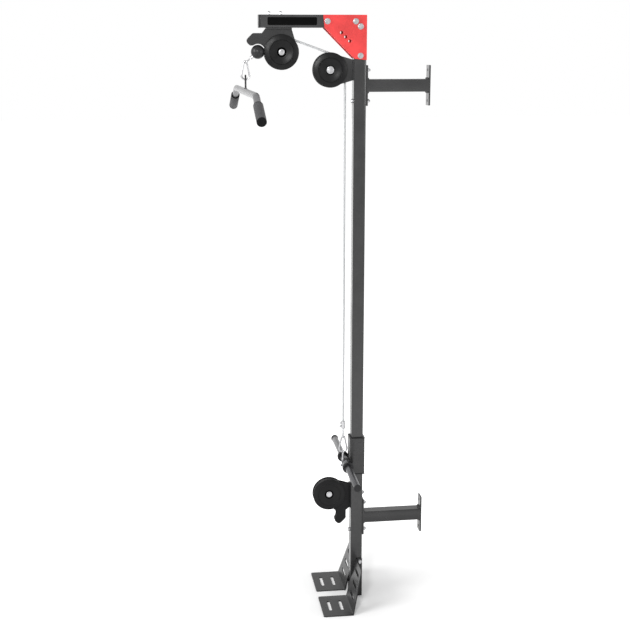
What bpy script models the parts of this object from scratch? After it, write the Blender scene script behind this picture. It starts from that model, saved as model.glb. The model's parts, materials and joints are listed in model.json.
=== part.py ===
"""Wall-mounted cable machine: a square post and beam, three guided pulleys, a
weight carriage sliding on the post, a cable with a stop ball, and a wide pull bar.

Metres, +Z up. The origin is the middle of the post's foot on the floor. The wall
is towards +Y, the user stands at -Y, and the bars lie along X.
"""
import math

import bmesh
import bpy
from mathutils import Matrix, Vector

# Square tube of the frame
SECTION = 0.045
TUBE_WALL = 0.002
TUBE_CORNER_R = 0.003
HEIGHT = 2.2255
BEAM_REACH = 0.3617
CAP_LIP = 0.005
CAP_PLUG = 0.020

# Air left where two pieces touch, and room around a bolt
GAP = 0.0003
HOLE_ROOM = 0.0005
MERGE = 0.00002

# How far a cutting tool reaches past what it cuts, and how deep a welded piece bites
PAST = 0.010
BITE = 0.001

# Corner gusset plates, measured from the frame's upper rear corner
GUSSET_THICK = 0.005
GUSSET_LEG = 0.1565
GUSSET_SLANT = 0.0045
GUSSET_BOLT_FAR = 0.1415
GUSSET_BOLT_NEAR = 0.040
GUSSET_HOLE_R = 0.006
GUSSET_HOLE_PITCH = 0.021
GUSSET_HOLE_PLACE = 0.076

# Wall arms
WALL_DISTANCE = 0.2352
ARM_PLATE_THICK = 0.006
ARM_PLATE_HEIGHT = 0.144
ARM_BOLT_EDGE = 0.017
ARM_WELD = 0.005
ARM_TUBE_INSET = 0.0001
ARM_VENT_R = 0.005
WALL_HOLE_R = 0.0055
UPPER_ARM_DROP = 0.2465
LOWER_ARM_Z = 0.3264

# Bolts: shaft, hexagon corner, washer radius, washer, head and nut height, tail
FRAME_BOLT = dict(shaft=0.004, hexagon=0.0075, washer_r=0.0079, washer=0.0012,
                  head=0.0053, nut=0.0065, tail=0.0035)
GUSSET_BOLT = dict(shaft=0.005, hexagon=0.0088, washer_r=0.0105, washer=0.002,
                   head=0.0048, nut=0.008, tail=0.003)

# Pulleys, their brackets and covers
PULLEY_WIDTH = 0.015
PULLEY_R = 0.060
GROOVE_LINE_R = 0.055
GROOVE_FLAT = 0.0066
GROOVE_MOUTH = 0.0118
SIDE_CLEARANCE = 0.0008
BRACKET_PLATE = 0.003
BRACKET_ROUND_R = 0.058
FLANGE_THICK = 0.004
PULLEY_STANDOFF = 0.084
FLANGE_BACK = 0.036
FLANGE_NOSE = 0.0555
NOSE_TOP = 0.0658
NOSE_NECK = 0.0681
NOSE_BROW = 0.1006
NOSE_BROW_R = 0.008
NOSE_TIP = 0.1275
NOSE_TIP_RISE = 0.039
NOSE_TIP_R = 0.012
NOSE_CHIN = 0.1105
NOSE_CHIN_RISE = 0.0228
NOSE_CHIN_R = 0.005
NOTCH_FROM = 52
NOTCH_TO = 188
NOTCH_ROUND_FROM = -8
REAR_FLANGE_HALF = 0.0367
BRACKET_BOLTS = (0.043, 0.0015)
FRONT_PULLEY_SETBACK = 0.0807
COVER_R = 0.062
COVER_RIM = 0.0026
COVER_RIDGE = 0.0072
COVER_RIDGE_R = 0.0427
COVER_FLOOR = 0.001
RECESS_R = 0.017
RECESS_DEPTH = 0.0036
AXLE_R = 0.006
AXLE_HEAD = 0.0035
AXLE_HEAD_R = {"front": 0.0105, "rear": 0.0135, "lower": 0.0112}
AXLE_CROWN_IN = 0.005
AXLE_EDGE = 0.001
AXLE_NUT_R = 0.0105
AXLE_NUT = 0.006
AXLE_TAIL = 0.002
BEARING_R = 0.014

# Cable, stop ball and cable end
CABLE_R = 0.004
CORE_R = 0.0022
EXIT_ANGLE = 40.5
BALL_R = 0.0245
BALL_RUN = 0.0628
BALL_ROOM = 0.0035
LINK_RUN = 0.059
EYE_RING_R = 0.007
FERRULE_R = 0.006
FERRULE = 0.009
FERRULE_EDGE = 0.0015
SHANK_R = 0.0028

# Snap hooks: wire, overall length and the two end radii of the wire's centre line
HOOK_WIRE_R = 0.00325
HOOK_LENGTH = 0.070
HOOK_SMALL_R = 0.006
HOOK_LARGE_R = 0.0145
GATE_R = 0.003
GATE_NOSE = 0.005
GATE_FOOT = 0.006
GATE_ROOM = 0.0005
EYE_HOLE_R = 0.005
EYE_ROOM = 0.0007

# Weight carriage
SLIDE_CLEARANCE = 0.0005
LINER_WALL = 0.0022
LINER_RIM = 0.0035
LINER_RIM_OUT = 0.001
SLEEVE_WALL = 0.003
SLEEVE_LOW = 0.511
SLEEVE_LENGTH = 0.140
HORN_Z = 0.550
HORN_R = 0.0125
HORN_HALF = 0.283
HORN_CAP_WALL = 0.0015
HORN_CAP_LENGTH = 0.018
HORN_CAP_END = 0.003
HORN_CAP_EDGE = 0.0012
COLLAR_R = 0.0215
COLLAR_WIDTH = 0.014
COLLAR_EDGE = 0.0023
COLLAR_X = 0.064
HORN_LUG_THICK = 0.004
HORN_LUG_HALF = 0.010
HORN_LUG_TOP = 0.011
HORN_LUG_TAIL = 0.016
LUG_CURL_HALF = 0.009
LUG_CURL_REACH = 0.0064
LUG_CURL_RISE = 0.0005
LUG_SADDLE_HALF = 0.008
LUG_SADDLE_RISE = 0.004
CARRIAGE_HOOK_Z = 0.5915
LOOP_HEIGHT = 0.038
LOOP_HALF = 0.007
LOOP_BULGE_RISE = 0.0108
LOOP_BULGE_IN = 0.0005
CLIP_HEIGHT = 0.029
CLIP_HALF_X = 0.0105
CLIP_HALF_Y = 0.0065
CLIP_CORNER_R = 0.0052
CLIP_NUT_R = 0.0045
CLIP_NUT = 0.005
CLIP_STUD_R = 0.0025
CLIP_STUD = 0.003
CLIP_NUT_SPREAD = 0.007

# Pull bar
BAR_R = 0.012
BAR_WALL = 0.0025
BAR_DROP = 0.043
BAR_STRAIGHT = 0.372
BAR_BEND_R = 0.060
BAR_SLOPE = 23.5
BAR_BENT = 0.1816
BAR_TURN = 1.0
BAR_LUG_THICK = 0.005
BAR_LUG_HALF = 0.011
BAR_LUG_TOP = 0.017
BAR_LUG_FLARE = 0.0044
BAR_LUG_FLARE_RISE = 0.0088
GRIP_R = 0.0165
GRIP_LENGTH = 0.118
GRIP_END = 0.004
GRIP_EDGE = 0.0012

# Foot plates
FOOT_THICK = 0.004
FOOT_WEB = 0.005
FOOT_OUTER = 0.193
FOOT_TOP_OUTER = 0.143
FOOT_FRONT = 0.151
FOOT_BEND = 0.040
FOOT_HEIGHT = 0.157
FOOT_LEAN = 0.25
FOOT_CORNER_R = 0.006
FOOT_SLOT_LENGTH = 0.078
FOOT_SLOT_WIDTH = 0.012
FOOT_SLOT_X = 0.108
FOOT_SLOTS_Y = (0.118, 0.073)
FOOT_SLOTS_Z = (0.041, 0.083, 0.127)
FOOT_FACE_SLOT_LENGTH = 0.074
FOOT_BOLT_Y = 0.013
FOOT_BOLT_Z = 0.144

# Places that follow from the sizes above
HALF = SECTION / 2
BEAM_LOW = HEIGHT - SECTION
BORE_HALF = HALF - TUBE_WALL
UPPER_ARM_Z = HEIGHT - UPPER_ARM_DROP
ARM_BOLT_SPREAD = ARM_PLATE_HEIGHT / 2 - ARM_BOLT_EDGE
PLATE_IN = PULLEY_WIDTH / 2 + SIDE_CLEARANCE
PLATE_OUT = PLATE_IN + BRACKET_PLATE
COVER_IN = PLATE_OUT + GAP
REAR_AXIS = (-(HALF + PULLEY_STANDOFF), UPPER_ARM_Z + ARM_BOLT_SPREAD)
LOWER_AXIS = (-(HALF + PULLEY_STANDOFF), LOWER_ARM_Z + ARM_BOLT_SPREAD + BRACKET_BOLTS[0])
FRONT_AXIS = (FRONT_PULLEY_SETBACK - BEAM_REACH, BEAM_LOW - PULLEY_STANDOFF)
CABLE_Y = REAR_AXIS[0] + GROOVE_LINE_R
EXIT = Vector((0, -math.cos(math.radians(EXIT_ANGLE)), -math.sin(math.radians(EXIT_ANGLE))))
EXIT_SIDE = Vector((0, EXIT.z, -EXIT.y))
EXIT_POINT = Vector((0, *FRONT_AXIS)) + GROOVE_LINE_R * EXIT_SIDE
BALL = EXIT_POINT + BALL_RUN * EXIT
FRONT_LINK = BALL + LINK_RUN * EXIT
SLEEVE_HALF = HALF + SLIDE_CLEARANCE + LINER_WALL + GAP + SLEEVE_WALL
HORN_Y = -(SLEEVE_HALF + GAP + HORN_R)
HOOK_RISE = HOOK_LENGTH - 2 * HOOK_WIRE_R - HOOK_SMALL_R
LINK_SAG = HOOK_SMALL_R - HOOK_WIRE_R - CORE_R - GAP
EYE_SAG = EYE_HOLE_R - HOOK_WIRE_R - EYE_ROOM
FRONT_HOOK_Z = FRONT_LINK.z - LINK_SAG - HOOK_RISE
REAR_LINK_Z = CARRIAGE_HOOK_Z + HOOK_RISE + LINK_SAG
CLIP_LOW = REAR_LINK_Z + LOOP_HEIGHT
BAR_Z = FRONT_HOOK_Z - BAR_DROP

PIVOTS = {}


def clear_scene():
    for item in list(bpy.data.objects):
        bpy.data.objects.remove(item, do_unlink=True)


def material(name, color, roughness, metallic):
    found = bpy.data.materials.get(name)
    if found:
        return found
    made = bpy.data.materials.new(name)
    made.use_nodes = True
    shader = made.node_tree.nodes["Principled BSDF"]
    shader.inputs["Base Color"].default_value = (*color, 1)
    shader.inputs["Roughness"].default_value = roughness
    shader.inputs["Metallic"].default_value = metallic
    return made


def frame_paint():
    return material("frame_paint", (0.075, 0.075, 0.078), 0.45, 0.3)


def bracket_paint():
    return material("bracket_paint", (0.05, 0.05, 0.052), 0.45, 0.3)


def red_paint():
    return material("red_paint", (0.85, 0.09, 0.09), 0.4, 0.1)


def zinc():
    return material("zinc", (0.72, 0.73, 0.75), 0.3, 0.9)


def black_plastic():
    return material("black_plastic", (0.02, 0.02, 0.021), 0.4, 0.0)


def pulley_nylon():
    return material("pulley_nylon", (0.035, 0.035, 0.036), 0.45, 0.0)


def cable_coat():
    return material("cable_coat", (0.8, 0.81, 0.82), 0.25, 0.0)


def cable_core():
    return material("cable_core", (0.5, 0.51, 0.53), 0.35, 0.8)


def bar_chrome():
    return material("bar_chrome", (0.42, 0.43, 0.44), 0.3, 0.8)


def grip_rubber():
    return material("grip_rubber", (0.06, 0.06, 0.062), 0.7, 0.0)


def ball_rubber():
    return material("ball_rubber", (0.03, 0.03, 0.031), 0.35, 0.0)


def add_object(name, builder, look, origin=(0, 0, 0)):
    """Make an object from a bmesh that is in world places, with its origin at a point."""
    bmesh.ops.recalc_face_normals(builder, faces=builder.faces)
    bmesh.ops.translate(builder, verts=builder.verts, vec=-Vector(origin))
    mesh = bpy.data.meshes.new(name)
    builder.to_mesh(mesh)
    builder.free()
    item = bpy.data.objects.new(name, mesh)
    item.location = origin
    bpy.context.scene.collection.objects.link(item)
    mesh.materials.append(look)
    return item


def shade_round(item, angle=35):
    item.data.shade_smooth()
    item.data.set_sharp_from_angle(angle=math.radians(angle))


def pivot(name, place, above=None):
    """An empty on a joint's axis, which carries the pieces that the joint moves."""
    empty = bpy.data.objects.new(name, None)
    PIVOTS[name] = Vector(place)
    empty.location = PIVOTS[name] - (PIVOTS[above] if above else Vector())
    if above:
        empty.parent = bpy.data.objects[above]
    bpy.context.scene.collection.objects.link(empty)
    return empty


def carry(name, pieces):
    """Parent pieces that are in world places to a pivot."""
    for piece in pieces:
        piece.parent = bpy.data.objects[name]
        piece.location = Vector(piece.location) - PIVOTS[name]


def apply_boolean(item, tools, operation):
    """Apply a Boolean with each tool and delete the tools."""
    for tool in tools:
        step = item.modifiers.new("join", "BOOLEAN")
        step.operation = operation
        step.object = tool
    bpy.context.view_layer.update()
    result = item.evaluated_get(bpy.context.evaluated_depsgraph_get())
    mesh = bpy.data.meshes.new_from_object(result)
    item.modifiers.clear()
    item.data = mesh
    builder = bmesh.new()
    builder.from_mesh(mesh)
    bmesh.ops.remove_doubles(builder, verts=builder.verts, dist=MERGE)
    bmesh.ops.dissolve_limit(builder, angle_limit=math.radians(0.5), verts=builder.verts,
                             edges=builder.edges)
    builder.to_mesh(mesh)
    builder.free()
    for tool in tools:
        bpy.data.objects.remove(tool, do_unlink=True)
    return item


def place(plane, across, up, along):
    """A point from its place in a plane and its place along the plane's normal."""
    return {"X": (along, across, up), "Y": (across, along, up), "Z": (across, up, along)}[plane]


def extrusion(outline, plane, low, high):
    """A prism: an outline in the plane across an axis, from low to high on that axis."""
    builder = bmesh.new()
    ends = [[builder.verts.new(place(plane, a, b, level)) for a, b in outline]
            for level in (low, high)]
    builder.faces.new(ends[0])
    builder.faces.new(ends[1])
    count = len(outline)
    for i in range(count):
        j = (i + 1) % count
        builder.faces.new((ends[0][i], ends[0][j], ends[1][j], ends[1][i]))
    return builder


def rounded(half_a, half_b, radius, steps=2, centre=(0, 0)):
    """The outline of a rectangle with round corners."""
    points = []
    for quarter, (sa, sb) in enumerate(((1, 1), (-1, 1), (-1, -1), (1, -1))):
        for step in range(steps + 1):
            angle = math.pi / 2 * (quarter + step / steps)
            points.append((centre[0] + sa * (half_a - radius) + radius * math.cos(angle),
                           centre[1] + sb * (half_b - radius) + radius * math.sin(angle)))
    return points


def slot(half_length, half_width, centre):
    """The outline of a slot with half-round ends."""
    reach = half_length - half_width
    return (arc((centre[0] + reach, centre[1]), half_width, -90, 90, 6)
            + arc((centre[0] - reach, centre[1]), half_width, 90, 270, 6))


def box(low, high):
    return extrusion([(low[0], low[1]), (high[0], low[1]), (high[0], high[1]), (low[0], high[1])],
                     "Z", low[2], high[2])


def arc(centre, radius, start, end, steps):
    """Points on a circle, with angles in degrees."""
    angles = [math.radians(start + (end - start) * i / steps) for i in range(steps + 1)]
    return [(centre[0] + radius * math.cos(a), centre[1] + radius * math.sin(a)) for a in angles]


def turned(profile, centre, axis, segments, closed=True, hexes=(), phase=0.0, builder=None):
    """Turn (radius, distance) points about an axis; hexes lists points that are hexagonal."""
    builder = builder or bmesh.new()
    turn = Vector((0, 0, 1)).rotation_difference(Vector(axis)).to_matrix()
    rings = []
    for index, (radius, along) in enumerate(profile):
        if radius == 0:
            rings.append([builder.verts.new(Vector(centre) + turn @ Vector((0, 0, along)))])
            continue
        ring = []
        for i in range(segments):
            angle = 2 * math.pi * (i + phase) / segments
            reach = radius
            if index in hexes:
                reach *= math.cos(math.pi / 6) / math.cos(angle % (math.pi / 3) - math.pi / 6)
            spot = Vector((reach * math.cos(angle), reach * math.sin(angle), along))
            ring.append(builder.verts.new(Vector(centre) + turn @ spot))
        rings.append(ring)
    pairs = list(zip(rings, rings[1:]))
    if closed:
        pairs.append((rings[-1], rings[0]))
    for one, two in pairs:
        for i in range(segments):
            j = (i + 1) % segments
            if len(one) == 1:
                builder.faces.new((one[0], two[i], two[j]))
            elif len(two) == 1:
                builder.faces.new((one[i], one[j], two[0]))
            else:
                builder.faces.new((one[i], one[j], two[j], two[i]))
    return builder


def rod(start, end, radius, segments=12, builder=None):
    """A plain round rod between two points."""
    reach = Vector(end) - Vector(start)
    profile = [(0, 0), (radius, 0), (radius, reach.length), (0, reach.length)]
    return turned(profile, start, reach.normalized(), segments, closed=False, phase=0.5,
                  builder=builder)


def swept(path, normal, radius, sides=8, bore=0.0):
    """A wire or tube along a flat path; normal is square to the path's plane."""
    builder = bmesh.new()
    points = [Vector(p) for p in path]
    normal = Vector(normal)
    layers = []
    for i, point in enumerate(points):
        before = points[i] - points[max(i - 1, 0)]
        after = points[min(i + 1, len(points) - 1)] - points[i]
        heading = (before.normalized() + after.normalized()).normalized()
        side = heading.cross(normal).normalized()
        rings = []
        for reach in ([radius, bore] if bore else [radius]):
            angles = [2 * math.pi * (k + 0.5) / sides for k in range(sides)]
            rings.append([builder.verts.new(point + reach * (math.cos(a) * side + math.sin(a) * normal))
                          for a in angles])
        layers.append(rings)
    for one, two in zip(layers, layers[1:]):
        for ring_one, ring_two in zip(one, two):
            for k in range(sides):
                m = (k + 1) % sides
                builder.faces.new((ring_one[k], ring_one[m], ring_two[m], ring_two[k]))
    for rings in (layers[0], layers[-1]):
        if not bore:
            builder.faces.new(rings[0])
            continue
        for k in range(sides):
            m = (k + 1) % sides
            builder.faces.new((rings[0][k], rings[0][m], rings[1][m], rings[1][k]))
    return builder


def drill(item, holes, segments=12):
    """Cut round holes: each is a start point, an end point and a radius."""
    rods = bmesh.new()
    for start, end, radius in holes:
        rod(start, end, radius, segments, rods)
    return apply_boolean(item, [add_object("holes", rods, black_plastic())], "DIFFERENCE")


def across_x(y, z, radius, reach):
    return (Vector((-reach, y, z)), Vector((reach, y, z)), radius)


def along_y(x, z, radius, low, high):
    return (Vector((x, low, z)), Vector((x, high, z)), radius)


def bolt(name, seat, direction, grip, size):
    """A hexagon bolt with two washers and its nut, head at the seat point."""
    s = size
    back = grip + s["washer"]
    head = -s["washer"]
    end = back + s["nut"] + s["tail"]
    profile = [(0, end), (s["shaft"], end), (s["shaft"], back + s["nut"]),
               (s["hexagon"], back + s["nut"]), (s["hexagon"], back), (s["washer_r"], back),
               (s["washer_r"], grip), (s["shaft"], grip), (s["shaft"], 0),
               (s["washer_r"], 0), (s["washer_r"], head), (s["hexagon"], head),
               (s["hexagon"], head - s["head"]), (0, head - s["head"])]
    body = turned(profile, seat, direction, 12, closed=False, hexes=(3, 4, 11, 12))
    item = add_object(name, body, zinc())
    shade_round(item)
    return item


def bolt_hole_r(size):
    return size["shaft"] + HOLE_ROOM


def corner_point(forward, down):
    """Y and Z of a point measured from the frame's upper rear corner."""
    return (HALF - forward, HEIGHT - down)


def gusset_bolt_places():
    pairs = ((GUSSET_BOLT_FAR, HALF), (GUSSET_BOLT_NEAR, HALF),
             (HALF, GUSSET_BOLT_NEAR), (HALF, GUSSET_BOLT_FAR))
    return [corner_point(forward, down) for forward, down in pairs]


def arm_bolt_heights():
    return [centre + side * ARM_BOLT_SPREAD for centre in (UPPER_ARM_Z, LOWER_ARM_Z)
            for side in (1, -1)]


def lower_bracket_bolt_z():
    return LOWER_AXIS[1] - BRACKET_BOLTS[1]


def build_post():
    low = CAP_LIP + GAP
    post = add_object("post", extrusion(rounded(HALF, HALF, TUBE_CORNER_R), "Z", low, HEIGHT),
                      frame_paint())
    inner = TUBE_CORNER_R - TUBE_WALL
    bore = add_object("bore", extrusion(rounded(BORE_HALF, BORE_HALF, inner), "Z", -PAST,
                                        HEIGHT + PAST), frame_paint())
    mitre_gap = GAP * math.sqrt(2)
    wedge = [(-HALF - PAST, BEAM_LOW - PAST - mitre_gap), (HALF + PAST, HEIGHT + PAST - mitre_gap),
             (-HALF - PAST, HEIGHT + PAST - mitre_gap)]
    mitre = add_object("mitre", extrusion(wedge, "X", -SECTION, SECTION), frame_paint())
    apply_boolean(post, [bore, mitre], "DIFFERENCE")
    frame_r = bolt_hole_r(FRAME_BOLT)
    holes = [along_y(0, z, frame_r, -SECTION, SECTION) for z in arm_bolt_heights()]
    holes.append(along_y(0, lower_bracket_bolt_z(), frame_r, -SECTION, SECTION))
    holes.append(across_x(FOOT_BOLT_Y, FOOT_BOLT_Z, frame_r, SECTION))
    for y, z in gusset_bolt_places()[2:]:
        holes.append(across_x(y, z, bolt_hole_r(GUSSET_BOLT), SECTION))
    return drill(post, holes)


def build_beam():
    front = -(BEAM_REACH - CAP_LIP - GAP)
    middle = HEIGHT - HALF
    beam = add_object("beam", extrusion(rounded(HALF, HALF, TUBE_CORNER_R, centre=(0, middle)),
                                        "Y", front, HALF), frame_paint())
    inner = TUBE_CORNER_R - TUBE_WALL
    bore = add_object("bore", extrusion(rounded(BORE_HALF, BORE_HALF, inner, centre=(0, middle)),
                                        "Y", front - PAST, HALF + PAST), frame_paint())
    wedge = [(-HALF - PAST, BEAM_LOW - PAST), (HALF + PAST, BEAM_LOW - PAST),
             (HALF + PAST, HEIGHT + PAST)]
    mitre = add_object("mitre", extrusion(wedge, "X", -SECTION, SECTION), frame_paint())
    apply_boolean(beam, [bore, mitre], "DIFFERENCE")
    holes = [across_x(y, z, bolt_hole_r(GUSSET_BOLT), SECTION) for y, z in gusset_bolt_places()[:2]]
    for along in BRACKET_BOLTS:
        y = FRONT_AXIS[0] - along
        holes.append((Vector((0, y, BEAM_LOW - PAST)), Vector((0, y, HEIGHT + PAST)),
                      bolt_hole_r(FRAME_BOLT)))
    return drill(beam, holes)


def tube_cap(name, centre, axis):
    """A plastic cap: a lip as wide as the tube and a plug inside it."""
    plug = BORE_HALF - GAP
    corner = TUBE_CORNER_R - TUBE_WALL
    levels = ((0, HALF, TUBE_CORNER_R), (CAP_LIP, HALF, TUBE_CORNER_R),
              (CAP_LIP, plug, corner), (CAP_LIP + CAP_PLUG, plug, corner))
    builder = bmesh.new()
    rings = []
    for along, half, radius in levels:
        spots = [Vector((a, b, 0)) for a, b in rounded(half, half, radius)]
        if axis == "Y":
            spots = [Vector((p.x, along, p.y)) for p in spots]
        else:
            spots = [Vector((p.x, p.y, along)) for p in spots]
        rings.append([builder.verts.new(Vector(centre) + p) for p in spots])
    count = len(rings[0])
    for one, two in zip(rings, rings[1:]):
        for i in range(count):
            j = (i + 1) % count
            builder.faces.new((one[i], one[j], two[j], two[i]))
    builder.faces.new(rings[0])
    builder.faces.new(rings[-1])
    return add_object(name, builder, black_plastic())


def build_gusset(name, side):
    inner = GUSSET_LEG - GUSSET_SLANT
    pairs = ((0, 0), (GUSSET_LEG, 0), (inner, SECTION), (SECTION, inner), (0, GUSSET_LEG))
    low = HALF + GAP
    levels = sorted((side * low, side * (low + GUSSET_THICK)))
    plate = add_object(name, extrusion([corner_point(*p) for p in pairs], "X", *levels), red_paint())
    reach = low + GUSSET_THICK + PAST
    holes = [across_x(y, z, bolt_hole_r(GUSSET_BOLT), reach) for y, z in gusset_bolt_places()]
    for step in (-1, 0, 1):
        shift = step * GUSSET_HOLE_PITCH / math.sqrt(2)
        y, z = corner_point(GUSSET_HOLE_PLACE + shift, GUSSET_HOLE_PLACE - shift)
        holes.append(across_x(y, z, GUSSET_HOLE_R, reach))
    return drill(plate, holes, 16)


def build_gusset_bolts():
    seat = HALF + GAP + GUSSET_THICK + GAP
    for number, (y, z) in enumerate(gusset_bolt_places(), 1):
        bolt(f"gusset_bolt_{number}", (seat, y, z), (-1, 0, 0), 2 * seat, GUSSET_BOLT)


def build_arm(name, centre_z):
    """A tube welded between two plates; a vent in the post plate opens its hollow."""
    near = HALF + GAP
    wall = HALF + WALL_DISTANCE
    inside = (near + ARM_PLATE_THICK, wall - ARM_PLATE_THICK)
    middle = (0, centre_z)
    arm = add_object(name, extrusion(rounded(HALF, ARM_PLATE_HEIGHT / 2, TUBE_CORNER_R,
                                             centre=middle), "Y", near, inside[0]), frame_paint())
    parts = [extrusion(rounded(HALF, ARM_PLATE_HEIGHT / 2, TUBE_CORNER_R, centre=middle), "Y",
                       inside[1], wall),
             extrusion(rounded(HALF - ARM_TUBE_INSET, HALF, TUBE_CORNER_R, centre=middle), "Y",
                       inside[0] - BITE, inside[1] + BITE)]
    for y, ahead in ((inside[0], 1), (inside[1], -1)):
        for up in (1, -1):
            surface = centre_z + up * HALF
            outline = [(y - ahead * BITE, surface - up * BITE),
                       (y + ahead * ARM_WELD, surface - up * BITE),
                       (y + ahead * ARM_WELD, surface), (y, surface + up * ARM_WELD),
                       (y - ahead * BITE, surface + up * ARM_WELD)]
            parts.append(extrusion(outline, "X", -(HALF - TUBE_CORNER_R), HALF - TUBE_CORNER_R))
    apply_boolean(arm, [add_object("weld", p, frame_paint()) for p in parts], "UNION")
    hollow = extrusion(rounded(BORE_HALF, BORE_HALF, TUBE_WALL, centre=middle), "Y", *inside)
    apply_boolean(arm, [add_object("hollow", hollow, frame_paint())], "DIFFERENCE")
    holes = [along_y(0, centre_z, ARM_VENT_R, near - BITE, inside[0] + BITE)]
    for up in (1, -1):
        z = centre_z + up * ARM_BOLT_SPREAD
        holes.append(along_y(0, z, bolt_hole_r(FRAME_BOLT), near - BITE, inside[0] + BITE))
        holes.append(along_y(0, z, WALL_HOLE_R, inside[1] - BITE, wall + BITE))
    return drill(arm, holes)


def build_arm_bolts():
    names = ("upper_arm_bolt_top", "upper_arm_bolt_bottom",
             "lower_arm_bolt_top", "lower_arm_bolt_bottom")
    back = HALF + GAP + ARM_PLATE_THICK + GAP
    for name, z in zip(names, arm_bolt_heights()):
        front = HALF + GAP
        if name.endswith("top"):
            front += FLANGE_THICK + GAP
        bolt(name, (0, -front, z), (0, 1, 0), front + back, FRAME_BOLT)


def tangent_angle(point, radius, side):
    """The angle where a line from a point touches a circle about the axis."""
    distance = math.hypot(*point)
    return math.degrees(math.atan2(point[1], point[0]) + side * math.acos(radius / distance))


def round_corner(before, corner, after, radius, steps):
    """Points of the arc that rounds a corner between two straight sides."""
    corner = Vector(corner)
    one, two = ((Vector(side) - corner).normalized() for side in (before, after))
    half = one.angle(two) / 2
    middle = corner + (one + two).normalized() * radius / math.sin(half)
    start, end = (corner + side * radius / math.tan(half) - middle for side in (one, two))
    turn = start.angle_signed(end)
    return [tuple(middle + Matrix.Rotation(-turn * i / steps, 2) @ start) for i in range(steps + 1)]


def bracket_outline(nose, high):
    """A side plate's outline: along the seat face, and up towards it from the pulley's axis."""
    if not nose:
        left = tangent_angle((-REAR_FLANGE_HALF, high), BRACKET_ROUND_R, 1)
        right = tangent_angle((REAR_FLANGE_HALF, high), BRACKET_ROUND_R, -1)
        return ([(REAR_FLANGE_HALF, high)]
                + arc((0, 0), BRACKET_ROUND_R, right, left - 360, 16)
                + [(-REAR_FLANGE_HALF, high)])
    ball = (FRONT_AXIS[0] - BALL.y, BALL.z - FRONT_AXIS[1])
    notch_r = BALL_R + BALL_ROOM
    left = tangent_angle((-FLANGE_BACK, high), BRACKET_ROUND_R, 1)
    notch = arc(ball, notch_r, NOTCH_FROM, NOTCH_TO, 7)
    neck, brow = (NOSE_NECK, NOSE_TOP), (NOSE_BROW, NOSE_TOP)
    tip, chin = (NOSE_TIP, NOSE_TIP_RISE), (NOSE_CHIN, NOSE_CHIN_RISE)
    return ([(FLANGE_NOSE, high), neck]
            + round_corner(neck, brow, tip, NOSE_BROW_R, 2)
            + round_corner(brow, tip, chin, NOSE_TIP_R, 4)
            + round_corner(tip, chin, notch[0], NOSE_CHIN_R, 2) + notch
            + arc((0, 0), BRACKET_ROUND_R, NOTCH_ROUND_FROM, left - 360, 14)
            + [(-FLANGE_BACK, high)])


def build_bracket(name, axis, nose, down):
    """Two side plates on a flange; down says that the seat is the beam above the pulley."""
    def to_plane(along, high):
        if down:
            return (axis[0] - along, axis[1] + high)
        return (axis[0] + high, axis[1] - along)

    face = PULLEY_STANDOFF - GAP
    seat = face - FLANGE_THICK
    span = (-FLANGE_BACK, FLANGE_NOSE) if nose else (-REAR_FLANGE_HALF, REAR_FLANGE_HALF)
    corners = [to_plane(span[0], seat), to_plane(span[1], seat), to_plane(span[1], face),
               to_plane(span[0], face)]
    bracket = add_object(name, extrusion(corners, "X", -HALF, HALF), bracket_paint())
    outline = [to_plane(*p) for p in bracket_outline(nose, seat + FLANGE_THICK / 2)]
    plates = [add_object("plate", extrusion(outline, "X", low, high), bracket_paint())
              for low, high in ((PLATE_IN, PLATE_OUT), (-PLATE_OUT, -PLATE_IN))]
    apply_boolean(bracket, plates, "UNION")
    holes = [across_x(*axis, AXLE_R + HOLE_ROOM, PLATE_OUT + PAST)]
    for along in (BRACKET_BOLTS if nose else (0.0,)):
        low, high = (Vector((0, *to_plane(along, level))) for level in (seat - PAST, face + PAST))
        holes.append((low, high, bolt_hole_r(FRAME_BOLT)))
    return drill(bracket, holes)


def build_bracket_bolts():
    seat = BEAM_LOW - GAP - FLANGE_THICK - GAP
    for number, along in enumerate(BRACKET_BOLTS, 1):
        bolt(f"front_bracket_bolt_{number}", (0, FRONT_AXIS[0] - along, seat), (0, 0, 1),
             HEIGHT + GAP - seat, FRAME_BOLT)
    front = HALF + GAP + FLANGE_THICK + GAP
    bolt("lower_bracket_bolt", (0, -front, lower_bracket_bolt_z()), (0, 1, 0),
         front + HALF + GAP, FRAME_BOLT)


def build_cover(name, axis, side):
    """A round dished cover with a ridge, and a recess for the axle's head."""
    floor = COVER_IN + COVER_FLOOR
    ridge = COVER_IN + COVER_RIDGE
    rim = COVER_IN + COVER_RIM
    profile = [(AXLE_R + GAP, COVER_IN), (AXLE_R + GAP, floor), (RECESS_R, floor),
               (RECESS_R, floor + RECESS_DEPTH), (COVER_RIDGE_R, ridge),
               (COVER_R - COVER_FLOOR, rim + COVER_FLOOR), (COVER_R, rim), (COVER_R, COVER_IN)]
    item = add_object(name, turned(profile, (0, *axis), (side, 0, 0), 28), black_plastic())
    shade_round(item)
    return item


def build_axle(name, axis, head_r):
    """A through bolt that clamps the covers on the bracket; the bearing turns on it."""
    seat = COVER_IN + COVER_FLOOR + GAP
    head = seat + AXLE_HEAD
    nut = seat + AXLE_NUT
    tail = nut + AXLE_TAIL
    profile = [(0, head), (head_r - AXLE_CROWN_IN, head), (head_r - AXLE_EDGE, head - AXLE_EDGE),
               (head_r, seat), (AXLE_R, seat), (AXLE_R, -seat), (AXLE_NUT_R, -seat),
               (AXLE_NUT_R, -nut), (AXLE_R, -nut), (AXLE_R, -tail), (0, -tail)]
    body = turned(profile, (0, *axis), (1, 0, 0), 18, closed=False, hexes=(6, 7))
    item = add_object(name, body, zinc())
    shade_round(item)
    return item


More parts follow.
